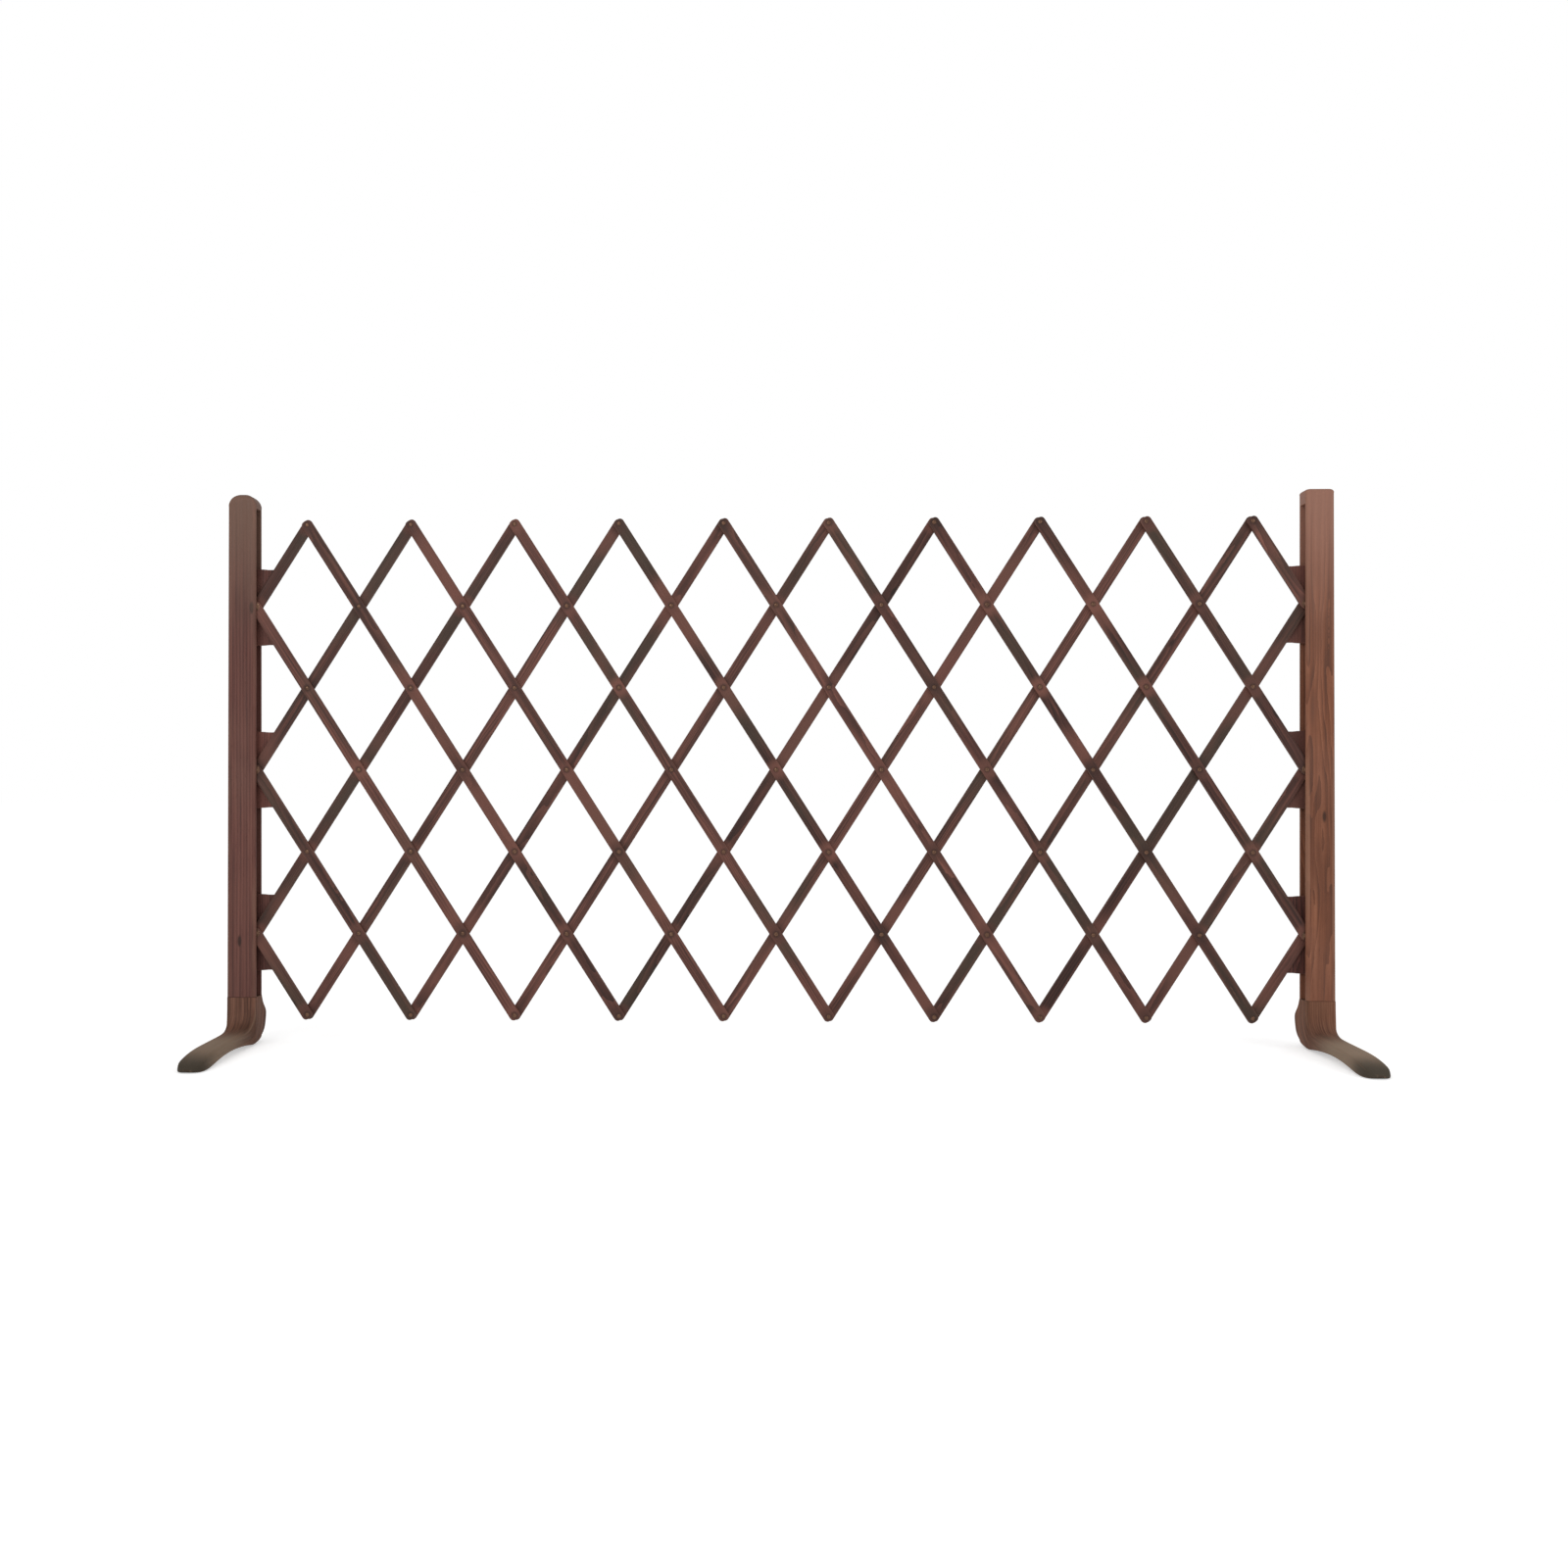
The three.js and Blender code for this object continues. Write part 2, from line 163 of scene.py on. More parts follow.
@contextmanager
def editing(piece: Piece) -> Iterator[None]:
    """Opens the piece in edit mode and closes it again.

    Args:
        piece: The piece to shape.

    Yields:
        Nothing: the piece is in edit mode meanwhile.
    """
    take_up(piece)
    bpy.ops.object.mode_set(mode="EDIT")
    try:
        yield
    finally:
        bpy.ops.object.mode_set(mode="OBJECT")


def pick(piece: Piece, kind: Pick, test: Callable[..., bool]) -> int:
    """Selects just the faces, edges or points that pass a test, in edit mode.

    Args:
        piece: The piece in edit mode.
        kind: What is picked.
        test: Says whether a face, an edge or a point's place is wanted.

    Returns:
        How many are picked.
    """
    bpy.ops.mesh.select_mode(type=kind.value)
    bpy.ops.mesh.select_all(action="DESELECT")
    shape = bmesh.from_edit_mesh(piece.data)
    parts = {Pick.FACES: shape.faces, Pick.EDGES: shape.edges, Pick.POINTS: shape.verts}[kind]
    wanted = [part for part in parts if test(part.co if kind is Pick.POINTS else part)]
    for part in wanted:
        part.select = True
    if kind is Pick.POINTS:
        shape.select_flush_mode()
    bmesh.update_edit_mesh(piece.data)
    return len(wanted)


def move_points(piece: Piece, test: Callable[[Vector], bool], step: Triple) -> None:
    """Moves the points that pass a test, in edit mode."""
    pick(piece, Pick.POINTS, test)
    bpy.ops.transform.translate(value=step)


def runs_along(axis: int) -> Callable[[bmesh.types.BMEdge], bool]:
    """Makes a test for the edges that run along one axis."""
    others = [other for other in range(3) if other != axis]
    return lambda edge: max(abs((edge.verts[0].co - edge.verts[1].co)[other]) for other in others) < TOUCH


def settle_place(piece: Piece) -> None:
    """Moves the piece's place, turn and scale into its mesh."""
    take_up(piece)
    bpy.ops.object.transform_apply(location=True, rotation=True, scale=True)


def stand(piece: Piece, place: Triple, turn: float = 0.0) -> None:
    """Carries a piece modelled at the origin to its place, leaning about Y by a turn in radians."""
    piece.rotation_euler, piece.location = (0, turn, 0), place
    settle_place(piece)


def add_block(name: str, low: Triple, high: Triple) -> Piece:
    """Starts a piece from a rectangular block.

    Args:
        name: The piece's name.
        low: Its lowest corner.
        high: Its highest corner.

    Returns:
        The new piece, unturned and unscaled, at the origin.
    """
    bpy.ops.object.select_all(action="DESELECT")
    middle = tuple((a + b) / 2 for a, b in zip(low, high))
    size = tuple(b - a for a, b in zip(low, high))
    bpy.ops.mesh.primitive_cube_add(size=1, location=middle, scale=size)
    piece = bpy.context.active_object
    piece.name = name
    settle_place(piece)
    return piece


def add_rod(name: str, radius: float, start: Triple, length: float, axis: str, sides: int) -> Piece:
    """Starts a piece from a round rod.

    Args:
        name: The piece's name.
        radius: Its radius.
        start: The middle of the end where it starts.
        length: Its length.
        axis: "Y" or "Z", the way it runs.
        sides: The number of faces around it.

    Returns:
        The new piece, unturned and unscaled, at the origin.
    """
    bpy.ops.object.select_all(action="DESELECT")
    step, turn = ((0, length / 2, 0), math.pi / 2) if axis == "Y" else ((0, 0, length / 2), 0)
    middle = Vector(start) + Vector(step)
    bpy.ops.mesh.primitive_cylinder_add(
        vertices=sides, radius=radius, depth=length, location=middle, rotation=(turn, 0, 0))
    piece = bpy.context.active_object
    piece.name = name
    settle_place(piece)
    return piece


def bisect_at(point: Triple, normal: Triple, **settings: bool) -> None:
    """Scores a line of edges all round the mesh where a plane meets it, in edit mode."""
    bpy.ops.mesh.select_all(action="SELECT")
    bpy.ops.mesh.bisect(plane_co=point, plane_no=normal, **settings)


def draw_out(step: Triple, scale: Triple = (1, 1, 1), about: Triple = (0, 0, 0)) -> None:
    """Extrudes the selected face by a step and scales its new end about a point, in edit mode."""
    bpy.ops.mesh.extrude_region_move(TRANSFORM_OT_translate={"value": step})
    bpy.ops.transform.resize(value=scale, center_override=about)


def apply_tool(piece: Piece, kind: str, **settings: object) -> None:
    """Adds one modifier to the piece and applies it.

    Args:
        piece: The piece.
        kind: The modifier's type.
        **settings: Its settings by name.
    """
    take_up(piece)
    bpy.ops.object.modifier_add(type=kind)
    tool = piece.modifiers[-1]
    for name, value in settings.items():
        setattr(tool, name, value)
    bpy.ops.object.modifier_apply(modifier=tool.name)


def cut_away(piece: Piece, cutter: Piece) -> None:
    """Takes the cutter's shape out of the piece and throws the cutter away."""
    apply_tool(piece, "BOOLEAN", operation="DIFFERENCE", solver="EXACT", object=cutter)
    bpy.data.objects.remove(cutter)


def ease_edges(piece: Piece, width: float, angle: float, segments: int = 3) -> None:
    """Rounds every edge that is sharper than an angle in degrees."""
    apply_tool(piece, "BEVEL", width=width, segments=segments, limit_method="ANGLE",
               angle_limit=math.radians(angle), harden_normals=False)


def frame_flats(piece: Piece, margin: float, least: float = BROAD) -> None:
    """Insets the large flat faces, so that wear stays close to their edges.

    Args:
        piece: The piece.
        margin: The width of the margin.
        least: The least area of a face that gets one.
    """
    def broad(face: bmesh.types.BMFace) -> bool:
        """Says whether a face is large and wide enough for a margin."""
        longest = max(edge.calc_length() for edge in face.edges)
        return face.calc_area() > max(least, MARGINS_ACROSS * margin * longest)

    with editing(piece):
        if pick(piece, Pick.FACES, broad):
            bpy.ops.mesh.inset(thickness=margin, use_individual=True)


def duplicate(piece: Piece, name: str) -> Piece:
    """Copies a piece with a mesh of its own.

    Args:
        piece: The piece to copy.
        name: The copy's name.

    Returns:
        The copy.
    """
    copy = piece.copy()
    copy.data = piece.data.copy()
    copy.name = name
    bpy.context.collection.objects.link(copy)
    return copy


def write_points(piece: Piece, name: str, values: Sequence[float]) -> None:
    """Writes an attribute of one number or one vector for each point of the mesh.

    Args:
        piece: The piece.
        name: The attribute's name.
        values: The values in the order of the points, flattened.
    """
    numbers = len(values) == len(piece.data.vertices)
    layer = piece.data.attributes.new(name, "FLOAT" if numbers else "FLOAT_VECTOR", "POINT")
    layer.data.foreach_set("value" if numbers else "vector", values)


def upright(place: Vector) -> Triple:
    """The grain of a piece that runs straight up: across, through and along it."""
    return place.x, place.y, place.z


def mark_grain(piece: Piece, middle: Triple, run: Callable[[Vector], Triple] = upright) -> None:
    """Records where each point lies across, through and along the grain, and how worn it is.

    Args:
        piece: The piece, before it leans.
        middle: The place that the three distances are counted from.
        run: Turns a place into its distances across, through and along the grain.
    """
    places = [run(point.co - Vector(middle)) for point in piece.data.vertices]
    low, high = min(place[2] for place in places), max(place[2] for place in places)
    write_points(piece, "grain", [value for place in places for value in place])
    ends = [(place[2] - low, high - place[2], 0.0) for place in places]
    write_points(piece, "ends", [value for reach in ends for value in reach])
    shape = bmesh.new()
    shape.from_mesh(piece.data)
    worn = []
    for point in shape.verts:
        bends = [edge.calc_face_angle_signed(0.0) for edge in point.link_edges if edge.is_manifold]
        worn.append(min(1.0, max(bends + [0.0]) / math.radians(WORN_ANGLE)))
    shape.free()
    write_points(piece, "worn", worn)


# Finishes


def tint(red: int, green: int, blue: int) -> Triple:
    """Turns a colour as a screen shows it, from 0 to 255, into the linear light that shaders use."""
    shares = [channel / 255 for channel in (red, green, blue)]
    return tuple(share / 12.92 if share <= 0.04045 else ((share + 0.055) / 1.055) ** 2.4 for share in shares)


class Desk:
    """Lays out the nodes of one material or of the world."""

    def __init__(self, tree: bpy.types.NodeTree) -> None:
        """Clears the tree that the nodes go into."""
        self.tree = tree
        tree.nodes.clear()

    def node(self, kind: str, feeds: Optional[Feeds] = None, **settings: object) -> bpy.types.Node:
        """Adds one node.

        Args:
            kind: The node's type, without its ShaderNode prefix.
            feeds: What goes into its inputs, by their names or numbers.
            **settings: Its settings by name.

        Returns:
            The node.
        """
        made = self.tree.nodes.new("ShaderNode" + kind)
        for name, value in settings.items():
            setattr(made, name, value)
        for key, source in (feeds or {}).items():
            socket = made.inputs[key]
            if isinstance(source, Socket):
                self.tree.links.new(source, socket)
            else:
                socket.default_value = (*source, 1) if socket.type == "RGBA" else source
        return made

    def result(self, kind: str, *values: Feed, **settings: object) -> Socket:
        """Adds a node with its first inputs filled and gives its first output."""
        return self.node(kind, dict(enumerate(values)), **settings).outputs[0]

    def attribute(self, name: str) -> Socket:
        """Reads one of the piece's own attributes as a vector."""
        return self.node("Attribute", attribute_name=name).outputs["Vector"]

    def number(self, name: str) -> Socket:
        """Reads one of the piece's own attributes as a number."""
        return self.node("Attribute", attribute_name=name).outputs["Fac"]

    def parts(self, vector: Feed) -> Sequence[Socket]:
        """Takes a vector apart."""
        return self.node("SeparateXYZ", {0: vector}).outputs

    def sum(self, operation: str, *values: Feed) -> Socket:
        """Works out one sum of numbers."""
        return self.result("Math", *values, operation=operation)

    def plus(self, one: Feed, other: Feed) -> Socket:
        """Adds two numbers."""
        return self.sum("ADD", one, other)

    def times(self, one: Feed, other: Feed) -> Socket:
        """Multiplies two numbers."""
        return self.sum("MULTIPLY", one, other)

    def sway(self, noise: Feed, amount: float) -> Socket:
        """Centres a noise on nothing and scales it."""
        return self.times(self.sum("SUBTRACT", noise, 0.5), amount)

    def vector(self, operation: str, one: Feed, other: Feed) -> Socket:
        """Works out one sum of vectors."""
        return self.result("VectorMath", one, other, operation=operation)

    def noise(self, place: Feed, cloud: Cloud) -> Socket:
        """Makes noise around one half.

        Args:
            place: Where it is read.
            cloud: Its kind.

        Returns:
            The noise.
        """
        scale, detail, roughness = cloud.value
        moved = self.vector("MULTIPLY", place, scale)
        feeds = {"Vector": moved, "Scale": 1, "Detail": detail, "Roughness": roughness}
        return self.node("TexNoise", feeds).outputs[0]

    def range(self, value: Feed, low: float, high: float, start: float = 0.0, end: float = 1.0) -> Socket:
        """Turns the range from low to high smoothly into the one from start to end."""
        return self.result("MapRange", value, low, high, start, end, interpolation_type="SMOOTHSTEP")

    def ramp(self, value: Feed, stops: Sequence[tuple[float, Triple]]) -> Socket:
        """Turns a value into colours.

        Args:
            value: The value.
            stops: The places and colours of the ramp.

        Returns:
            The colour.
        """
        made = self.node("ValToRGB", {0: value})
        marks = made.color_ramp.elements
        while len(marks) < len(stops):
            marks.new(0.5)
        for mark, (place, colour) in zip(marks, stops):
            mark.position, mark.color = place, (*colour, 1)
        return made.outputs[0]

    def lay(self, below: Feed, above: Feed, amount: Feed, way: str = "MIX") -> Socket:
        """Lays an amount of one colour over another."""
        feeds = {0: amount, 6: below, 7: above}
        return self.node("Mix", feeds, data_type="RGBA", blend_type=way).outputs[2]

    def close(self, colour: Feed, roughness: Feed, height: Feed, depth: float, strength: float,
              **fixed: float) -> None:
        """Closes a material with one surface.

        Args:
            colour: The colour.
            roughness: The roughness.
            height: The height of the relief.
            depth: How deep the relief is, in metres.
            strength: How strongly it shows.
            **fixed: Other sockets of the surface, with their constants.
        """
        relief = self.node("Bump", {"Strength": strength, "Distance": depth, "Height": height}).outputs[0]
        feeds = {"Base Color": colour, "Roughness": roughness, "Normal": relief}
        feeds.update({name.replace("_", " "): value for name, value in fixed.items()})
        self.node("OutputMaterial", {0: self.node("BsdfPrincipled", feeds).outputs[0]})


def new_material(name: str) -> tuple[bpy.types.Material, Desk]:
    """Starts an empty material.

    Args:
        name: Its name.

    Returns:
        The material and the desk for its nodes.
    """
    material = bpy.data.materials.new(name)
    material.use_nodes = True
    return material, Desk(material.node_tree)


@dataclass(frozen=True)
class Board:
    """What the figure of a board is drawn from: places in the board and slow and quick noise."""

    desk: Desk
    place: Socket
    across: Socket
    along: Socket
    streak: Socket
    drift: Socket
    patch: Socket


@dataclass(frozen=True)
class StainedWood:
    """Brown-stained softwood with growth rings, fibres, pores, small knots, faded parts and rubbed edges."""

    name: str
    ground: Triple
    shade: Triple
    light: Triple
    rubbed: Triple
    faded: Triple
    fading: float = 0.5
    ring_spacing: float = 0.0034
    roughness: float = 0.56
    gloss: float = 0.24
    ringed: float = 0.3
    knotted: float = 0.75
    pivot_pitch: float = 0.0
    # How much darker a post grows towards its lower end and lighter towards its top
    lower_darkening: float = 0.0
    upper_lightening: float = 0.0
    # The foot's toe: grey of weathering with painted light from above, and a tip darkened by scuffs and
    # painted shade
    toe_start: float = 0.0
    toe_end: float = 0.0
    toe_top: Triple = (0.2, 0.2, 0.2)
    toe_tip: Triple = (0.03, 0.03, 0.03)

    def material(self) -> bpy.types.Material:
        """Lays out the wood.

        Returns:
            The material.
        """
        material, desk = new_material(self.name)
        grain = desk.attribute("grain")
        place = desk.vector("ADD", grain, desk.attribute("board"))
        across, _, along = desk.parts(grain)
        streak, drift = desk.noise(place, Cloud.STREAK), desk.noise(place, Cloud.DRIFT)
        patch, fibre = desk.noise(place, Cloud.PATCH), desk.noise(place, Cloud.FIBRE)
        board = Board(desk, place, across, along, streak, drift, patch)
        rings = self.rings(board)
        pores = desk.range(desk.noise(place, Cloud.PORE), 0.62, 0.72)
        figure = desk.plus(desk.times(rings, self.ringed), desk.times(streak, 0.75))
        figure = desk.plus(figure, desk.sway(fibre, 0.5))
        colour = desk.ramp(figure, [(0.28, self.shade), (0.52, self.ground), (0.82, self.light)])
        colour = desk.lay(colour, desk.range(desk.number("tone"), 0, 1, 0.68, 1.34), 1.0, "MULTIPLY")
        faded = desk.range(desk.noise(place, Cloud.FADING), 0.46, 0.66, 0, self.fading)
        colour = desk.lay(colour, self.faded, faded)
        colour = desk.lay(colour, self.shade, desk.range(patch, 0.5, 0.72, 0, 0.4))
        colour = desk.lay(colour, self.shade, desk.times(pores, 0.5))
        colour = desk.lay(colour, KNOT_BLACK, desk.times(self.knots(board), self.knotted))
        lighter = desk.range(desk.noise(place, Cloud.LIGHTER), 0.5, 0.68, 0, self.fading)
        colour = desk.lay(colour, self.light, lighter)
        # Weathering and scuffs on the toe, with painted light on its top and painted shade at its tip
        if self.toe_end:
            colour = self.toe_wear_and_painted_light(board, colour)
        if self.pivot_pitch:
            colour = self.pivot_marks(board, colour)
        if self.lower_darkening:
            colour = self.grade_post_ends(board, colour)
        wear = desk.range(desk.plus(desk.number("worn"), desk.sway(patch, 1.6)), 0.62, 1.25)
        colour = desk.lay(colour, self.rubbed, desk.times(wear, 0.55))
        below, above, _ = desk.parts(desk.attribute("ends"))
        cut_end = desk.range(desk.sum("MINIMUM", below, above), 0.0002, 0.001, 1, 0)
        colour = desk.lay(colour, self.shade, desk.times(cut_end, 0.3))
        roughness = desk.range(fibre, 0.3, 0.7, self.roughness - 0.07, self.roughness + 0.1)
        roughness = desk.plus(roughness, desk.times(pores, 0.12))
        height = desk.plus(desk.times(fibre, 0.7), desk.times(rings, 0.25))
        height = desk.sum("SUBTRACT", height, desk.times(pores, 0.5))
        desk.close(colour, roughness, height, 0.0005, 0.4, Specular_IOR_Level=self.gloss)
        return material

    def rings(self, board: Board) -> Socket:
        """Draws growth rings that wander a little along the board.

        Args:
            board: The board.

        Returns:
            Values from 0 to 1 across each ring.
        """
        desk = board.desk
        shift = desk.vector("MULTIPLY", (1, 1, 0), desk.sway(board.drift, 0.02))
        moved = desk.vector("ADD", board.place, shift)
        feeds = {"Vector": moved, "Scale": math.pi / 10 / self.ring_spacing, "Distortion": 0.6, "Detail": 1}
        made = desk.node("TexWave", feeds, wave_type="RINGS", rings_direction="Z", wave_profile="SAW")
        return made.outputs["Fac"]

    def knots(self, board: Board) -> Socket:
        """Scatters a few small knots.

        Args:
            board: The board.

        Returns:
            1 inside a knot and 0 outside.
        """
        desk = board.desk
        moved = desk.vector("MULTIPLY", board.place, (26, 26, 9))
        cells = desk.node("TexVoronoi", {"Vector": moved, "Scale": 1})
        reach = desk.plus(cells.outputs["Distance"], desk.times(board.drift, 0.05))
        return desk.range(reach, 0.085, 0.14, 1, 0)

    def grade_post_ends(self, board: Board, colour: Feed) -> Socket:
        """Darkens the lower end of a post and lightens its top.

        Args:
            board: The board.
            colour: The colour so far.

        Returns:
            The new colour.
        """
        desk = board.desk
        height = desk.plus(board.along, desk.sway(board.streak, 0.2))
        colour = desk.lay(colour, self.shade, desk.range(height, 0.07, 0.26, self.lower_darkening, 0))
        return desk.lay(colour, self.faded, desk.range(height, 0.62, 0.9, 0, self.upper_lightening))

    def toe_wear_and_painted_light(self, board: Board, colour: Feed) -> Socket:
        """Stains the ankle as its post, greys the toe with weathering and painted top light, and darkens its
        tip with scuffs and painted shade.

        Args:
            board: The board.
            colour: The colour so far.

        Returns:
            The new colour.
        """
        desk = board.desk
        reach = desk.plus(board.along, desk.sway(board.patch, 0.05))
        stained = desk.range(reach, 0.0, 0.06, 1, 0)
        colour = desk.lay(colour, desk.attribute("stain"), stained, "MULTIPLY")
        # Grey weathering towards the toe, partly painted light falling on the foot's top
        grey_and_painted_top_light = desk.range(reach, self.toe_start, self.toe_start + 0.1, 0, 0.7)
        colour = desk.lay(colour, self.toe_top, grey_and_painted_top_light)
        # Dark scuffed tip, partly painted shade on the toe's front
        scuff_and_painted_shade = desk.range(reach, self.toe_end - 0.09, self.toe_end - 0.005, 0, 0.88)
        colour = desk.lay(colour, self.toe_tip, scuff_and_painted_shade)
        return desk.lay(colour, desk.attribute("bleach"), 1.0, "MULTIPLY")

    def pivot_marks(self, board: Board, colour: Feed) -> Socket:
        """Reddens or darkens the wood round each pivot, where the slats rub, and rings the rivet.

        Args:
            board: The board.
            colour: The colour so far.

        Returns:
            The new colour.
        """
        desk = board.desk
        along = desk.sum("PINGPONG", board.along, self.pivot_pitch / 2)
        squares = desk.plus(desk.times(along, along), desk.times(board.across, board.across))
        reach = desk.plus(desk.sum("SQRT", squares), desk.sway(board.patch, 0.012))
        near = desk.range(reach, 0.008, 0.024, 1, 0)
        rubbed = desk.range(desk.noise(board.place, Cloud.RUBBED), 0.36, 0.64, 0, 0.9)
        greasy = desk.range(desk.noise(board.place, Cloud.GREASY), 0.4, 0.64, 0, 0.55)
        colour = desk.lay(colour, self.light, desk.times(near, rubbed))
        colour = desk.lay(colour, self.shade, desk.times(near, greasy))
        return desk.lay(colour, self.shade, desk.range(reach, 0.0035, 0.008, 0.6, 0))


@dataclass(frozen=True)
class BronzedSteel:
    """Bronzed steel, brighter where it is rubbed."""

    name: str
    ground: Triple = tint(92, 66, 52)
    bright: Triple = tint(150, 120, 98)
    stain: Triple = (0.02, 0.013, 0.01)
    roughness: float = 0.36

    def material(self) -> bpy.types.Material:
        """Lays out the metal.

        Returns:
            The material.
        """
        material, desk = new_material(self.name)
        place = desk.node("TexCoord").outputs["Object"]
        cloud, spots = desk.noise(place, Cloud.TARNISH), desk.noise(place, Cloud.SPOT)
        colour = desk.lay(self.ground, self.bright, desk.range(cloud, 0.45, 0.75, 0, 0.6))
        colour = desk.lay(colour, self.stain, desk.range(spots, 0.5, 0.8, 0, 0.6))
        roughness = desk.range(cloud, 0.3, 0.7, self.roughness + 0.14, self.roughness - 0.06)
        desk.close(colour, roughness, cloud, 0.0001, 0.25, Metallic=0.85)
        return material


@dataclass(frozen=True)
class Finishes:
    """Every finish of the fence, made once."""

    pitch: float
    made: dict[str, bpy.types.Material] = field(default_factory=dict)

    def woods(self) -> dict[str, tuple[list[tuple[int, int, int]], dict[str, object]]]:
        """Lists the woods by their slot in the record.

        Returns:
            The ground, shade, light, rubbed and faded colour of each wood, and its other settings.
        """
        slat = {"fading": 0.7, "ring_spacing": 0.0026, "pivot_pitch": self.pitch}
        # toe_top is weathered grey with painted top light; toe_tip is a scuffed dark with painted shade
        foot = {"fading": 0.2, "roughness": 0.72, "gloss": 0.12, "ringed": 0.14, "knotted": 0.0,
                "toe_start": 0.055, "toe_end": 0.3, "toe_top": tint(138, 121, 102),
                "toe_tip": tint(50, 46, 39)}
        return {
            "left_post_wood": ([(94, 57, 50), (66, 39, 34), (118, 77, 67), (134, 98, 83), (114, 88, 75)],
                               {"fading": 0.15, "lower_darkening": 0.08, "upper_lightening": 0.8}),
            "right_post_wood": ([(118, 71, 49), (88, 53, 38), (146, 95, 70), (156, 114, 92), (154, 112, 96)],
                                {"fading": 0.12, "lower_darkening": 0.08, "upper_lightening": 0.8}),
            "foot_wood": ([(104, 71, 56), (70, 47, 37), (128, 94, 76), (132, 106, 88), (98, 74, 58)], foot),
            "front_slat_wood": (
                [(80, 49, 42), (50, 32, 27), (116, 74, 63), (124, 88, 75), (66, 56, 45)], slat),
            "back_slat_wood": (
                [(76, 47, 40), (46, 30, 25), (110, 70, 60), (118, 84, 71), (62, 53, 43)], slat),
            "block_wood": ([(92, 53, 46), (58, 34, 29), (120, 76, 66), (130, 92, 78), (84, 60, 50)],
                           {"fading": 0.4}),
        }

    def get(self, slot: str) -> bpy.types.Material:
        """Finds the material of a slot, and makes it when it is first asked for.

        Args:
            slot: The record's material slot.

        Returns:
            The material.
        """
        if slot not in self.made:
            if slot == "steel":
                finish = BronzedSteel(slot)
            else:
                colours, settings = self.woods()[slot]
                finish = StainedWood(slot, *(tint(*colour) for colour in colours), **settings)
            self.made[slot] = finish.material()
        return self.made[slot]


# The fence


@dataclass(frozen=True)
class Grid:
    """Where the pivots lie, and how deep each layer stands."""

    width: float = 1.8
    height: float = 0.905
    lowest_pivot: float = 0.051
    top_pivot_drop: float = 0.05
    post_width: float = 0.048
    pivot_inset: float = 0.003
    middle_depth: float = 0.109
    columns: int = 20
    rows: int = 7
    layer: float = 0.006
    layer_gap: float = 0.0004
    block_setback: float = 0.0048

    @property
    def span(self) -> float:
        """The distance between the pivots at the two posts."""
        return self.width - 2 * (self.post_width - self.pivot_inset)

    @property
    def column_pitch(self) -> float:
        """The distance between columns."""
        return self.span / self.columns

    @property
    def row_pitch(self) -> float:
        """The distance between rows."""
        return (self.height - self.top_pivot_drop - self.lowest_pivot) / (self.rows - 1)

    @property
    def pitch(self) -> float:
        """The distance between pivots along a slat."""
        return math.hypot(self.column_pitch, self.row_pitch)

    @property
    def angle(self) -> float:
        """How far the slats lean from upright."""
        return math.atan2(self.column_pitch, self.row_pitch)

    @property
    def block_front(self) -> float:
        """The depth of the front of the end blocks."""
        return self.middle_depth + self.block_setback - self.layer / 2

    @property
    def back_front(self) -> float:
        """The depth of the front of the back slats."""
        return self.block_front - self.layer_gap - self.layer

    @property
    def front_front(self) -> float:
        """The depth of the front of the front slats."""
        return self.back_front - self.layer_gap - self.layer

    @property
    def slats(self) -> int:
        """The number of slats in each layer."""
        return (self.columns + self.rows - 1) // 2

    def column(self, column: int) -> float:
        """The X of a column."""
        return (column - self.columns / 2) * self.column_pitch

    def row(self, row: int) -> float:
        """The height of a row."""
        return self.lowest_pivot + (self.rows - row) * self.row_pitch

    def pivots(self, family: Family, index: int) -> list[tuple[int, int]]:
        """Lists the pivots of one slat, from the lowest up.

        Args:
            family: Which layer the slat is in.
            index: Its number in the layer, from 0.

        Returns:
            The column and row of each pivot.
        """
        places = []
        for row in range(self.rows, 0, -1):
            column = 2 * index + 1 - self.rows + row if family is Family.FRONT else 2 * index + 2 - row
            if 0 <= column <= self.columns:
                places.append((column, row))
        return places


@dataclass
class Fastener:
    """A round fastener along Y, drawn out from a shank at both ends."""

    name: str
    radius: float
    start: float
    end: float
    front: Curve
    back: Curve
    sides: int = 16

    def model(self) -> Piece:
        """Models the fastener round the Y axis.

        Returns:
            The piece.
        """
        piece = add_rod(self.name, self.radius, (0, self.start, 0), self.end - self.start, "Y", self.sides)
        with editing(piece):
            for sign, place, steps in ((-1, self.start, self.front), (1, self.end, self.back)):
                pick(piece, Pick.FACES, lambda face: face.normal.y * sign > FACING)
                radius = self.radius
                for next_radius, next_place in steps:
                    grow = next_radius / radius
                    draw_out((0, next_place - place, 0), (grow, 1, grow), (0, next_place, 0))
                    radius, place = next_radius, next_place
        return piece


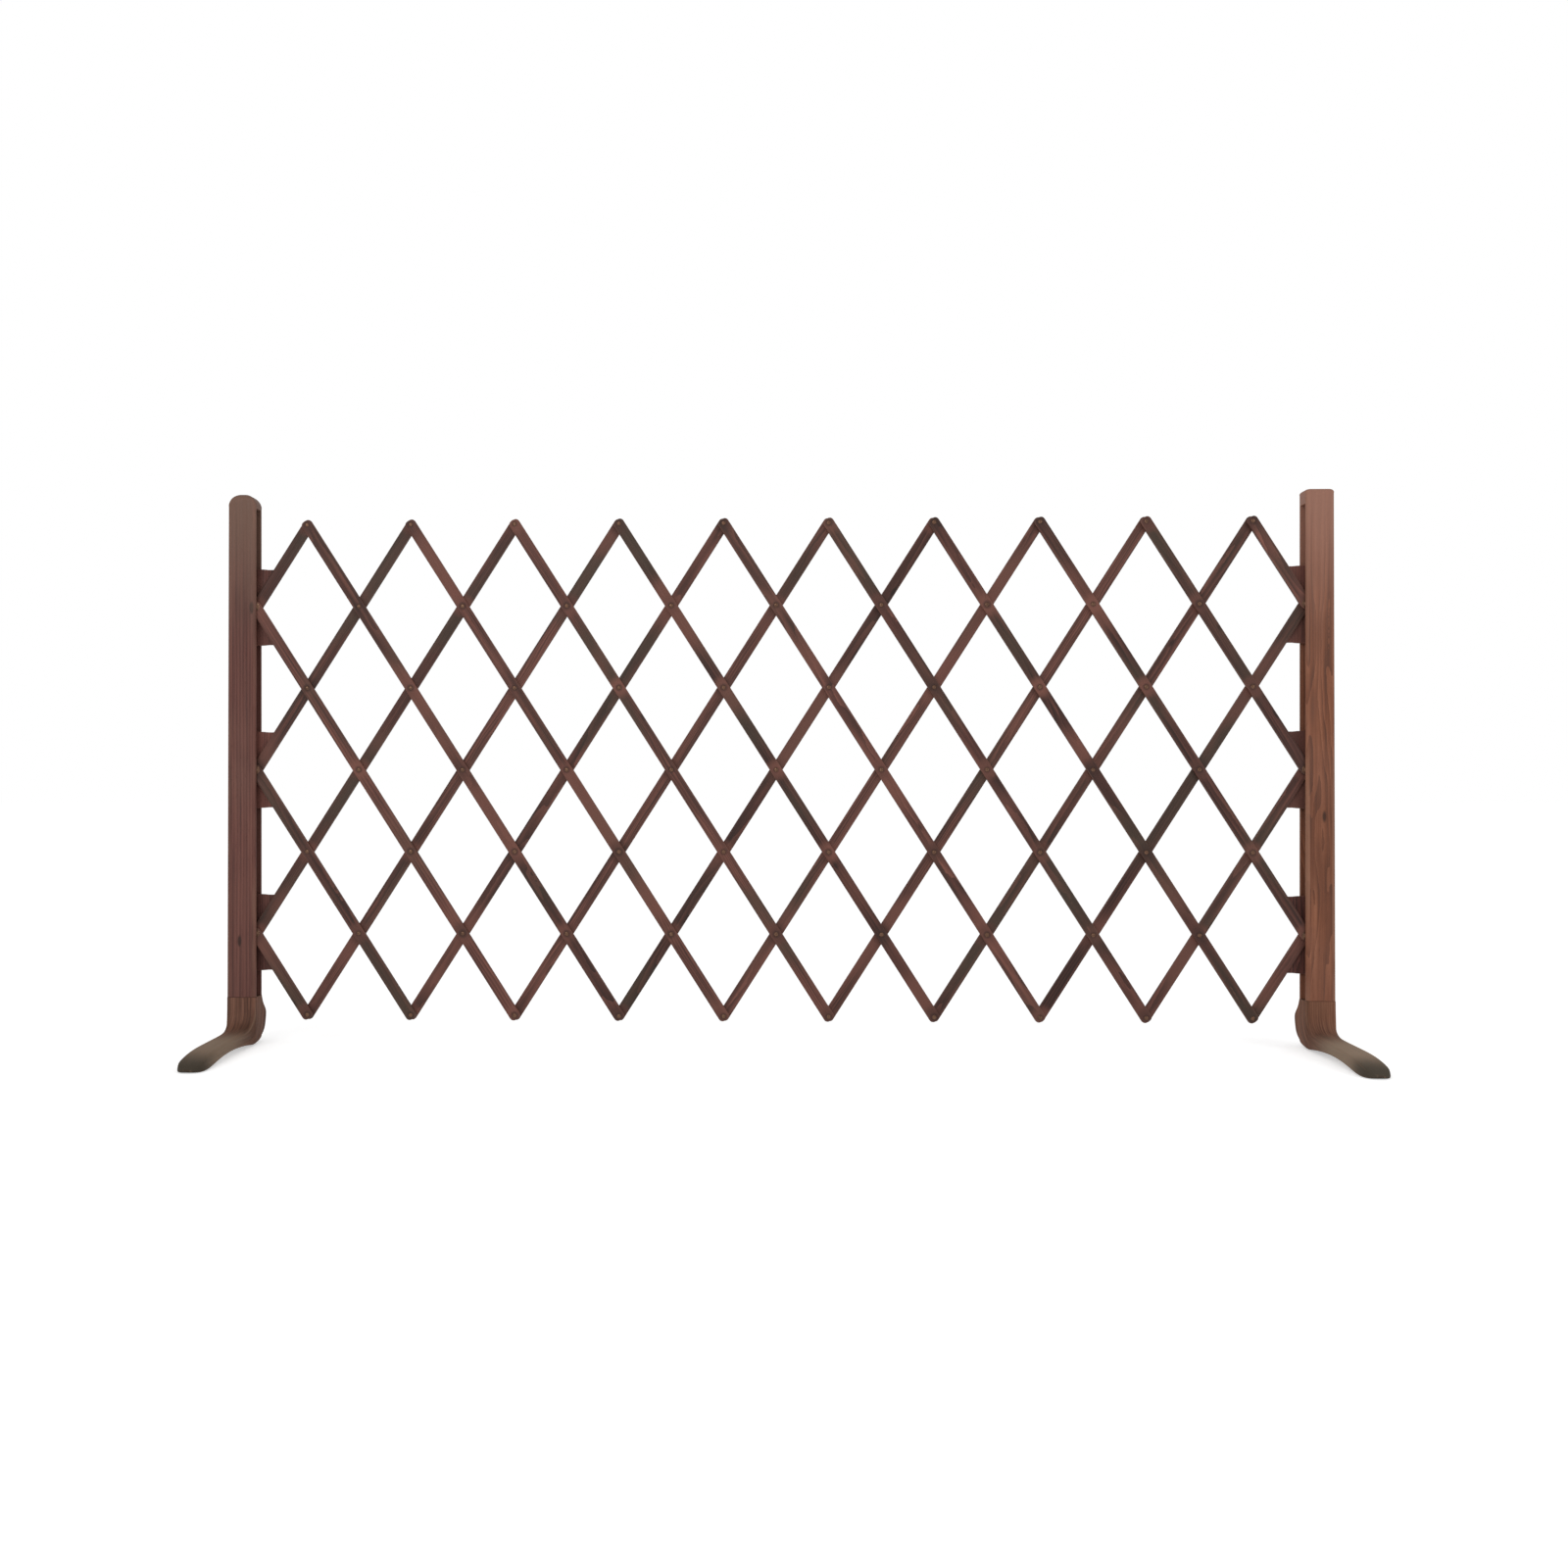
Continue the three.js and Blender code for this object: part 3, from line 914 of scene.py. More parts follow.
@dataclass
class Assembly:
    """A part of the fence that is built in one go."""

    grid: Grid
    finishes: Finishes
    shelf: random.Random

    def choose_board(self, piece: Piece, spread: float = 1.0) -> None:
        """Says which board the piece is cut from, so that no two pieces share their figure.

        Args:
            piece: The piece.
            spread: How much lighter or darker than the others it may be.
        """
        count, draw = len(piece.data.vertices), self.shelf.uniform
        heart = [draw(-0.09, 0.09), self.shelf.choice((-1, 1)) * draw(0.035, 0.09), draw(0, 30)]
        write_points(piece, "board", heart * count)
        write_points(piece, "tone", [0.5 + spread * (self.shelf.random() - 0.5)] * count)

    def finish(self, piece: Piece, name: str, node: str, slot: str, stands_for: Sequence[str] = ()) -> None:
        """Dresses a piece, hangs it on its body and reports it.

        Args:
            piece: The finished shape.
            name: Its name.
            node: A node of the frame whose body it moves with.
            slot: The record's material slot.
            stands_for: The frame's nodes that it stands for.
        """
        piece.name = piece.data.name = name
        piece.data.materials.clear()
        piece.data.materials.append(self.finishes.get(slot))
        take_up(piece)
        bpy.ops.object.shade_smooth_by_angle(angle=math.radians(SMOOTH_ANGLE))
        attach(piece, frame["nodes"][node]["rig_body"])
        if stands_for:
            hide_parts(*stands_for)
        log.info("%s: %d faces", name, len(piece.data.polygons))


@dataclass
class Lattice(Assembly):
    """The slats of both layers and the rivets through their crossings."""

    slat_width: float = 0.018
    end_reach: float = 0.007
    end_round: float = 0.0066
    end_steps: int = 6
    edge_round: float = 0.0011
    eased_angle: float = 60
    margin: float = 0.0008
    rivet_radius: float = 0.0018
    head_radius: float = 0.0036
    head_height: float = 0.0012
    head_overlap: float = 0.0001
    tail_gap: float = 0.0003

    def model_slat(self, count: int) -> Piece:
        """Models a slat upright, with its lowest pivot at the origin.

        Args:
            count: The number of its pivots.

        Returns:
            The piece.
        """
        half, deep = self.slat_width / 2, self.grid.layer
        top = (count - 1) * self.grid.pitch + self.end_reach
        piece = add_block(f"slat_of_{count}", (-half, 0, -self.end_reach), (half, deep, top))
        with editing(piece):
            pick(piece, Pick.EDGES, runs_along(1))
            bpy.ops.mesh.bevel(offset=self.end_round, segments=self.end_steps, affect="EDGES")
        ease_edges(piece, self.edge_round, self.eased_angle)
        frame_flats(piece, self.margin)
        mark_grain(piece, (0, deep / 2, 0))
        return piece

    def model_rivet(self) -> Piece:
        """Models a rivet with a domed head in front and a rolled tail behind.

        Returns:
            The piece.
        """
        front = self.grid.front_front
        back = self.grid.back_front + self.grid.layer + self.tail_gap
        head, high, start = self.head_radius, self.head_height, front + self.head_overlap
        dome = [(1, 0.2), (0.93, 0.5), (0.72, 0.82), (0.4, 0.98), (0.12, 1)]
        roll = [(0.94, 0), (1, 0.35), (0.88, 0.8), (0.66, 0.95), (0.48, 0.75), (0.4, 0.3)]
        return Fastener("rivet", self.rivet_radius, start, back,
                        [(head, start)] + [(wide * head, front - far * high) for wide, far in dome],
                        [(wide * head, back + far * high) for wide, far in roll]).model()

    def build(self) -> None:
        """Builds every slat and every rivet in its place."""
        patterns = {}
        for family in Family:
            depth = self.grid.front_front if family is Family.FRONT else self.grid.back_front
            for index in range(self.grid.slats):
                pivots = self.grid.pivots(family, index)
                count = len(pivots)
                if count not in patterns:
                    patterns[count] = self.model_slat(count)
                node = f"{family.value}_slat_{index + 1:02d}"
                slat = duplicate(patterns[count], node)
                self.choose_board(slat)
                column, row = pivots[0]
                place = (self.grid.column(column), depth, self.grid.row(row))
                stand(slat, place, family.lean * self.grid.angle)
                self.finish(slat, node + "_wood", node, f"{family.value}_slat_wood", [node])
        for pattern in patterns.values():
            bpy.data.objects.remove(pattern)
        self.build_rivets()

    def build_rivets(self) -> None:
        """Sets the rivets of each front slat."""
        pattern = self.model_rivet()
        for index in range(self.grid.slats):
            rivets = []
            for column, row in self.grid.pivots(Family.FRONT, index):
                if 0 < column < self.grid.columns:
                    rivet = duplicate(pattern, "rivet")
                    place = (self.grid.column(column), 0, self.grid.row(row))
                    stand(rivet, place, self.shelf.uniform(0, math.pi))
                    rivets.append(rivet)
            take_up(*rivets)
            if len(rivets) > 1:
                bpy.ops.object.join()
            node = f"front_slat_{index + 1:02d}"
            self.finish(rivets[0], node + "_rivets", node, "steel")
        bpy.data.objects.remove(pattern)


@dataclass
class EndBlock(Assembly):
    """A V-notched block behind the slats, with a tail that runs in the post's groove, and its pin."""

    side: Side
    level: Level
    height: float = 0.128
    reach: float = 0.0405
    notch_root: float = 0.006
    wing_tip: float = 0.005
    tail_start: float = 0.0154
    tail_end: float = 0.0234
    tail_flare: float = 0.004
    hollow: float = 0.0022
    hollow_shares: tuple[float, ...] = (0.2, 0.4, 0.6, 0.8)
    edge_round: float = 0.0008
    eased_angle: float = 30
    margin: float = 0.0007
    pin_radius: float = 0.0022
    pin_head: float = 0.004
    pin_high: float = 0.0012
    pin_gap: float = 0.0003

    def build(self) -> None:
        """Builds the block and its pin."""
        place = (self.side.sign * self.grid.span / 2, 0, self.grid.row(self.level.value))
        start = f"{self.side.value}_{self.level.name.lower()}_"
        block, node = self.model_block(self.side.sign), start + "block"
        self.choose_board(block)
        stand(block, place)
        self.finish(block, node + "_wood", node, "block_wood", [node])
        pin, node = self.model_pin(), start + "pin"
        stand(pin, place)
        self.finish(pin, node + "_steel", node, "steel", [node])

    def model_block(self, sign: int) -> Piece:
        """Models the block with its pivot at the origin.

        Args:
            sign: The side of the fence.

        Returns:
            The piece.
        """
        front, back = self.grid.block_front, self.grid.block_front + self.grid.layer
        half = self.height / 2
        inner = self.grid.pivot_inset
        ends = sorted((sign * self.tail_end, -sign * self.reach))
        piece = add_block("block", (ends[0], front, -half), (ends[1], back, half))
        with editing(piece):
            for height in (-half + self.wing_tip, 0, half - self.wing_tip):
                bisect_at((0, 0, height), (0, 0, 1))
            move_points(piece, lambda co: abs(co.z) < TOUCH and abs(co.x + sign * self.reach) < TOUCH,
                        (sign * (self.reach - self.notch_root), 0, 0))
            spots = [-sign * (inner + share * (self.reach - inner)) for share in self.hollow_shares]
            for spot in spots:
                bisect_at((spot, 0, 0), (1, 0, 0))
            for spot, share in zip(spots, self.hollow_shares):
                for way in (-1, 1):
                    move_points(piece, lambda co: abs(co.x - spot) < TOUCH and abs(co.z - way * half) < TOUCH,
                                (0, 0, -way * self.hollow * math.sin(math.pi * share)))
            bisect_at((sign * self.tail_start, 0, 0), (1, 0, 0))
            for way in (-1, 1):
                pick(piece, Pick.FACES, lambda face: face.normal.y * way > FACING
                     and face.calc_center_median().x * sign > self.tail_start)
                draw_out((0, way * self.tail_flare, 0))
        ease_edges(piece, self.edge_round, self.eased_angle)
        frame_flats(piece, self.margin)
        mark_grain(piece, (0, front, 0))
        return piece

    def model_pin(self) -> Piece:
        """Models the pin with its axis at the origin.

        Returns:
            The piece.
        """
        front = self.grid.front_front - self.pin_gap
        back = self.grid.block_front + self.grid.layer + self.pin_gap
        dome = [(1, 0), (1, 0.25), (0.92, 0.55), (0.7, 0.85), (0.36, 1)]
        cap = [(1, 0), (1, 0.5), (0.9, 0.75), (0.62, 0.8), (0.56, 1), (0.4, 1)]
        return Fastener("pin", self.pin_radius, front, back,
                        [(wide * self.pin_head, front - far * self.pin_high) for wide, far in dome],
                        [(wide * self.pin_head, back + far * self.pin_high) for wide, far in cap], 20).model()


@dataclass(frozen=True)
class Section:
    """One section of a foot: how far it lies from the post's middle, its top, sole and half width.

    The crest and the keel say how wide its top and its sole are, as shares of the width.
    """

    reach: float
    high: float
    low: float
    half: float
    crest: float = 1.0
    keel: float = 1.0


def height_on(curve: Curve, reach: float) -> float:
    """Finds the height of a curve over a place.

    Args:
        curve: The four leading points of the curve, each a reach and a height.
        reach: The place.

    Returns:
        The height.
    """
    low, high = 0.0, 1.0
    rising = curve[-1][0] > curve[0][0]
    for _ in range(40):
        share = (low + high) / 2
        parts = ((1 - share) ** 3, 3 * share * (1 - share) ** 2, 3 * share ** 2 * (1 - share), share ** 3)
        if (sum(part * point[0] for part, point in zip(parts, curve)) < reach) == rising:
            low = share
        else:
            high = share
    return sum(part * point[1] for part, point in zip(parts, curve))


@dataclass
class Post(Assembly):
    """A grooved post with a rounded crown, its carved foot and the screw of its bottom block.

    The nose and the brow of the toe bend its profile, each by a place and a share of its rise. The
    crest and the keel say how wide the top and the sole are: least, gain and the run of that gain.
    The marks are distances from the tip of the toe, and the chamfer is a percentage.
    """

    side: Side
    depth: float = 0.038
    edge_round: float = 0.006
    edge_steps: int = 5
    arris: float = 0.0005
    arris_steps: int = 2
    eased_angle: float = 50
    taper: float = 0.045
    margin: float = 0.001
    least_flat: float = 3e-4
    crown_steps: int = 10
    crown_flat: float = 0.0005
    base: float = 0.0803
    mouth_depth: float = 0.014
    mouth_side: float = 0.0022
    neck_end: float = 0.018
    neck_overlap: float = 0.001
    channel_end: float = 0.0268
    channel_side: float = 0.0074
    sliding: float = 0.0004
    headroom: float = 0.023
    foot_height: float = 0.08
    foot_spare: float = 0.02
    toe_reach: float = 0.272
    toe_spread: float = 0.003
    toe_tip: float = 0.0055
    toe_rise: float = 0.02
    toe_slope: float = 0.088
    toe_shoulder: float = 0.025
    toe_round: float = 0.0235
    toe_nose: tuple[float, float] = (0.004, 0.42)
    toe_brow: tuple[float, float] = (0.48, 0.9)
    toe_crest: Triple = (0.68, 0.2, 0.12)
    toe_keel: Triple = (0.76, 0.18, 0.06)
    toe_marks: tuple[float, ...] = (
        0.17, 0.14, 0.108, 0.08, 0.056, 0.038, 0.024, 0.0155, 0.0095, 0.005, 0.002, 0.0006)
    waist: float = 0.0025
    instep_top: float = 0.056
    instep_height: float = 0.027
    instep_length: float = 0.048
    instep_narrowing: float = 0.12
    instep_keel: float = 0.96
    instep_shares: tuple[float, ...] = (0.8, 0.6, 0.4, 0.2, 0.0)
    heel_reach: float = 0.053
    heel_height: float = 0.034
    heel_rise: float = 0.052
    heel_round: float = 0.016
    heel_step: float = 0.004
    heel_hollow: float = 0.34
    heel_swell: float = 0.36
    heel_bend: tuple[float, float] = (1.6, 0.75)
    heel_keel: float = 0.9
    heel_shares: tuple[float, ...] = (0.1, 0.25, 0.42, 0.58, 0.72, 0.84, 0.93, 0.98)
    chamfer: float = 16
    arch_start: float = 0.01
    arch_end: float = 0.23
    arch_height: float = 0.009
    grain_bend: float = 0.026
    foot_screw_reach: float = 0.0334
    foot_screw_bore: float = 0.0048
    foot_screw_sink: float = 0.026
    foot_screw_apart: float = 0.018
    block_screw_reach: float = 0.0194
    block_screw_radius: float = 0.0016
    block_screw_head: float = 0.0038
    block_screw_seat: float = 0.0022
    block_screw_cutter: float = 0.005
    block_screw_room: float = 0.0003
    block_screw_cone: float = 0.0024
    block_screw_length: float = 0.019
    block_screw_point: float = 0.004
    block_screw_turn: float = 0.4
    cross_half: tuple[float, float] = (0.0005, 0.0019)
    cross_depth: float = 0.0012
    cross_proud: float = 0.001

    @property
    def middle(self) -> float:
        """The X of the middle of the post."""
        return self.side.sign * (self.grid.width - self.grid.post_width) / 2

    @property
    def pivot(self) -> float:
        """The X of the pivots at this post."""
        return self.side.sign * self.grid.span / 2

    @property
    def crown(self) -> tuple[float, float]:
        """The radius of the crown seen from the front and from the side."""
        return (0.021, 0.01) if self.side is Side.LEFT else (0.006, 0.004)

    def shades(self) -> dict[str, list[float]]:
        """How much redder, greener and bluer than their finish the ankle and the whole foot are."""
        right = {"stain": [1.1, 1.04, 0.98], "bleach": [1.26, 1.28, 1.3]}
        return {"stain": [1.3, 1.32, 1.42], "bleach": [1.0, 1.0, 1.0]} if self.side is Side.LEFT else right

    def build(self) -> None:
        """Builds the post, its foot, its blocks and its screws."""
        post_node, foot_node = self.side.value + "_post", self.side.value + "_foot"
        post = self.model_post()
        self.choose_board(post, 0.1)
        self.finish(post, post_node + "_wood", post_node, post_node + "_wood", [post_node])
        foot = self.model_foot()
        self.choose_board(foot, 0.1)
        for name, shade in self.shades().items():
            write_points(foot, name, shade * len(foot.data.vertices))
        self.finish(foot, foot_node + "_wood", foot_node, "foot_wood", [foot_node])
        screw_node = self.side.value + "_block_screw"
        self.finish(self.model_block_screw(), screw_node + "_steel", screw_node, "steel", [screw_node])
        for number in (1, 2):
            hidden = frame["nodes"][f"{foot_node}_screw_{number:02d}"]
            hidden.data.materials.clear()
            hidden.data.materials.append(self.finishes.get("steel"))
        for level in Level:
            EndBlock(self.grid, self.finishes, self.shelf, self.side, level).build()

    def model_post(self) -> Piece:
        """Models the post in its place.

        Returns:
            The piece.
        """
        half, deep = self.grid.post_width / 2, self.depth / 2
        x, y = self.middle, self.grid.middle_depth
        shoulder = self.grid.height - self.crown[0]
        piece = add_block("post", (x - half, y - deep, self.base), (x + half, y + deep, shoulder))
        with editing(piece):
            pick(piece, Pick.EDGES, runs_along(2))
            bpy.ops.mesh.bevel(offset=self.edge_round, segments=self.edge_steps, affect="EDGES")
            pick(piece, Pick.FACES, lambda face: face.normal.z > FACING)
            keep, inner = 1 - self.taper, x - self.side.sign * half
            bpy.ops.transform.resize(value=(keep, keep, 1), center_override=(inner, y, shoulder))
            self.raise_crown(inner + self.side.sign * half * keep, half * keep, deep * keep)
        self.cut_groove(piece)
        ease_edges(piece, self.arris, self.eased_angle, self.arris_steps)
        with editing(piece):
            bisect_at((0, 0, self.grid.height - self.headroom + self.arris), (0, 0, 1))
        frame_flats(piece, self.margin, self.least_flat)
        mark_grain(piece, (x, y, 0))
        return piece

    def raise_crown(self, x: float, half: float, deep: float) -> None:
        """Draws the crown out of the selected top of the post, in edit mode.

        Args:
            x: The middle of the top.
            half: Half its width.
            deep: Half its depth.
        """
        across, through = self.crown
        shoulder = self.grid.height - across
        wide, long, level = half, deep, shoulder
        for step in range(1, self.crown_steps + 1):
            turn = math.pi / 2 * step / self.crown_steps
            height = shoulder + across * math.sin(turn)
            next_wide = half - across + across * math.cos(turn) + self.crown_flat
            rise = max(0.0, height - (self.grid.height - through))
            next_long = deep - through + math.sqrt(max(0.0, through ** 2 - rise ** 2))
            about = (x, self.grid.middle_depth, height)
            draw_out((0, 0, height - level), (next_wide / wide, next_long / long, 1), about)
            wide, long, level = next_wide, next_long, height

    def cut_groove(self, post: Piece) -> None:
        """Cuts the groove for the slats' ends and the blocks, and the seat of the block screw.

        Args:
            post: The post.
        """
        grid, sign = self.grid, self.side.sign
        low, high = self.base - OVERRUN, grid.height - self.headroom
        front, back = grid.block_front, grid.block_front + grid.layer
        middle = grid.middle_depth + grid.block_setback
        cuts = [
            (-OVERRUN, self.mouth_depth, grid.front_front - self.mouth_side, back + self.mouth_side),
            (self.mouth_depth - self.neck_overlap, self.neck_end + self.neck_overlap,
             front - self.sliding, back + self.sliding),
            (self.neck_end, self.channel_end, middle - self.channel_side, middle + self.channel_side),
        ]
        for start, end, near, far in cuts:
            reaches = sorted(self.pivot + sign * (reach - grid.pivot_inset) for reach in (start, end))
            cut_away(post, add_block("groove", (reaches[0], near, low), (reaches[1], far, high)))
        place = (self.pivot + sign * self.block_screw_reach,
                 grid.middle_depth + self.depth / 2 - self.block_screw_seat, grid.row(Level.BOTTOM.value))
        radius = self.block_screw_head + self.block_screw_room
        cut_away(post, add_rod("seat", radius, place, self.block_screw_cutter, "Y", 32))

    def top_of_toe(self, reach: float) -> float:
        """Finds the height of the top of the foot, from the instep forward.

        Args:
            reach: How far in front of the post's middle.

        Returns:
            The height.
        """
        shoulder, instep = self.toe_reach - self.toe_slope, self.depth / 2 + self.instep_length
        if reach <= shoulder:
            share = (reach - instep) / (shoulder - instep)
            return self.instep_height + share * (self.toe_shoulder - self.instep_height)
        rise = self.toe_shoulder - self.toe_tip
        (nose, nose_rise), (brow, brow_rise) = self.toe_nose, self.toe_brow
        curve = ((self.toe_reach, self.toe_tip), (self.toe_reach - nose, self.toe_tip + nose_rise * rise),
                 (self.toe_reach - brow * self.toe_slope, self.toe_tip + brow_rise * rise),
                 (shoulder, self.toe_shoulder))
        return height_on(curve, reach)

    def sole_of_toe(self, reach: float) -> float:
        """Finds the height of the sole, which is arched between the heel's pad and the toe's.

        Args:
            reach: How far in front of the post's middle.

        Returns:
            The height.
        """
        share = (reach - self.arch_start) / (self.arch_end - self.arch_start)
        if 0 < share < 1:
            return 4 * self.arch_height * share * (1 - share)
        past = reach - (self.toe_reach - self.toe_rise)
        return self.toe_tip * (1 - math.sqrt(max(0.0, 1 - past / self.toe_rise))) ** 2 if past > 0 else 0.0

    def half_of_toe(self, reach: float) -> float:
        """Finds half the width of the foot, narrow at the waist and round at the toe.

        Args:
            reach: How far in front of the post's middle.

        Returns:
            Half the width.
        """
        half, front = self.grid.post_width / 2, self.depth / 2
        centre = self.toe_reach - self.toe_round
        share = max(0.0, (reach - front) / (centre - front))
        if share > 1:
            past = (reach - centre) / self.toe_round
            return (half + self.toe_spread) * math.sqrt(max(0.0, 1 - past ** 2))
        return half - 4 * self.waist * share * (1 - share) + self.toe_spread * share ** 2

    def sole_of_heel(self, reach: float) -> float:
        """Finds the height of the sole under the heel, which rises towards the back."""
        past = max(0.0, (reach - self.heel_reach + self.heel_rise) / self.heel_rise)
        return self.heel_height * (1 - (1 - past ** self.heel_bend[0]) ** self.heel_bend[1])

    def toe_sections(self) -> list[Section]:
        """Lists the sections of the foot in front of the ankle.

        Returns:
            The sections, from the instep forward.
        """
        sections = []
        for share in self.instep_shares:
            reach = self.depth / 2 + self.instep_length * (1 - share) ** 2
            height = self.instep_height + (self.instep_top - self.instep_height) * share ** 2
            sections.append((reach, height, 1 - self.instep_narrowing * (1 - share), self.instep_keel))
        tapers = (self.toe_crest, self.toe_keel)
        for left in self.toe_marks:
            reach = self.toe_reach - left
            crest, keel = (least + gain * min(1.0, left / run) for least, gain, run in tapers)
            sections.append((reach, self.top_of_toe(reach), crest, keel))
        return [Section(reach, height, self.sole_of_toe(reach), self.half_of_toe(reach), crest, keel)
                for reach, height, crest, keel in sections]

    def heel_sections(self) -> list[Section]:
        """Lists the sections of the heel behind the ankle.

        Returns:
            The sections, from the ankle back.
        """
        back, drop = self.depth / 2, self.foot_height - self.heel_height
        curve = ((back, self.foot_height),
                 (back + self.heel_step, self.foot_height - self.heel_hollow * drop),
                 (self.heel_reach, self.heel_height + self.heel_swell * drop),
                 (self.heel_reach, self.heel_height))
        centre = self.heel_reach - self.heel_round
        sections = []
        for share in self.heel_shares:
            reach = back + share * (self.heel_reach - back)
            over = max(0.0, reach - centre)
            half = self.grid.post_width / 2 - self.heel_round + math.sqrt(self.heel_round ** 2 - over ** 2)
            height, sole = height_on(curve, reach), self.sole_of_heel(reach)
            sections.append(Section(reach, height, sole, half, 1, self.heel_keel))
        return sections

    def model_foot(self) -> Piece:
        """Models the foot in its place.

        Returns:
            The piece.
        """
        x, y = self.middle, self.grid.middle_depth
        half, deep = self.grid.post_width / 2, self.depth / 2
        lift, heel_lift = self.sole_of_toe(deep), self.sole_of_heel(deep)
        top = self.foot_height + self.foot_spare
        piece = add_block("foot", (x - half, y - deep, 0), (x + half, y + deep, top))
        with editing(piece):
            for height in (self.instep_top, self.foot_height):
                bisect_at((0, 0, height), (0, 0, 1))
            bisect_at((0, y - self.arch_start, 0), (0, 1, 0))
            move_points(piece, lambda co: co.z < TOUCH and co.y < y - deep + TOUCH, (0, 0, lift))
            move_points(piece, lambda co: co.z < TOUCH and co.y > y + deep - TOUCH, (0, 0, heel_lift))
            pick(piece, Pick.FACES, lambda face: face.normal.y < -FACING
                 and face.calc_center_median().z < self.instep_top)
            self.carve(piece, -1, Section(deep, self.instep_top, lift, half), self.toe_sections())
            pick(piece, Pick.FACES, lambda face: face.normal.y > FACING
                 and face.calc_center_median().z < self.foot_height)
            bpy.ops.mesh.dissolve_faces()
            self.carve(piece, 1, Section(deep, self.foot_height, heel_lift, half), self.heel_sections())
            self.round_long_edges(piece)
        apply_tool(piece, "SUBSURF", levels=2, render_levels=2)
        with editing(piece):
            bisect_at((0, 0, self.foot_height), (0, 0, 1), use_fill=True, clear_outer=True)
        for offset in (-self.foot_screw_apart / 2, self.foot_screw_apart / 2):
            place = (self.pivot + self.side.sign * self.foot_screw_reach, y + offset, -OVERRUN)
            depth = self.foot_screw_sink + OVERRUN
            cut_away(piece, add_rod("bore", self.foot_screw_bore, place, depth, "Z", 32))
        mark_grain(piece, (x, y, 0), self.bent_grain)
        return piece

    def bent_grain(self, place: Vector) -> Triple:
        """Follows the grain of the foot, which comes down the ankle and bends forward into the toe.

        Args:
            place: The place, counted from the middle of the post on the ground.

        Returns:
            The distances across, through and along the grain.
        """
        bend = self.depth / 2 + self.grain_bend
        ahead, above = -place.y - bend, place.z - self.instep_top
        if above >= 0:
            return place.x, -ahead, -above
        if ahead >= 0:
            return place.x, -above, bend * math.pi / 2 + ahead
        return place.x, math.hypot(ahead, above), bend * math.atan2(-above, -ahead)

    def carve(self, foot: Piece, way: int, start: Section, sections: Sequence[Section]) -> None:
        """Draws the picked end face out through sections, then narrows their tops and soles, in edit mode.

        Args:
            foot: The foot.
            way: -1 towards the toe and 1 towards the heel.
            start: The section of the selected face.
            sections: The sections to come.
        """
        for last, section in zip([start, *sections], sections):
            step = (0, way * (section.reach - last.reach), section.low - last.low)
            scale = (section.half / last.half, 1, (section.high - section.low) / (last.high - last.low))
            draw_out(step, scale, (self.middle, 0, section.low))
        for section in sections:
            y = self.grid.middle_depth + way * section.reach
            for height, share in ((section.high, section.crest), (section.low, section.keel)):
                if share < 1:
                    pick(foot, Pick.POINTS, lambda co: abs(co.y - y) < NEAR and abs(co.z - height) < NEAR)
                    bpy.ops.transform.resize(value=(share, 1, 1), center_override=(self.middle, y, height))

    def round_long_edges(self, foot: Piece) -> None:
        """Chamfers the outline of both sides of the foot, in edit mode.

        Args:
            foot: The foot.
        """
        def outline(edge: bmesh.types.BMEdge) -> bool:
            """Says whether an edge lies between a side and the top, the sole or an end."""
            sides = [abs(face.normal.x) > SIDEWAYS for face in edge.link_faces]
            return len(sides) == 2 and sides[0] != sides[1]

        bpy.ops.mesh.select_all(action="SELECT")
        bpy.ops.mesh.remove_doubles(threshold=TOUCH)
        pick(foot, Pick.EDGES, outline)
        bpy.ops.mesh.bevel(
            offset_type="PERCENT", offset_pct=self.chamfer, segments=2, affect="EDGES", clamp_overlap=False)

    def model_block_screw(self) -> Piece:
        """Models the countersunk screw of the bottom block, with a cross in its head.

        Returns:
            The piece.
        """
        face, head = self.grid.middle_depth + self.depth / 2, self.block_screw_head
        tip, neck = face - self.block_screw_length, face - self.block_screw_cone
        steps = [(0.42 * head, neck), (head, face - 0.0003), (head, face - 0.0001), (0.96 * head, face)]
        piece = Fastener("screw", self.block_screw_radius, tip + self.block_screw_point, neck,
                         [(0.0002, tip)], steps, 24).model()
        for wide, high in (self.cross_half, self.cross_half[::-1]):
            low, top = (-wide, face - self.cross_depth, -high), (wide, face + self.cross_proud, high)
            cut_away(piece, add_block("cross", low, top))
        place = (self.pivot + self.side.sign * self.block_screw_reach, 0, self.grid.row(Level.BOTTOM.value))
        stand(piece, place, self.block_screw_turn)
        return piece


# The studio


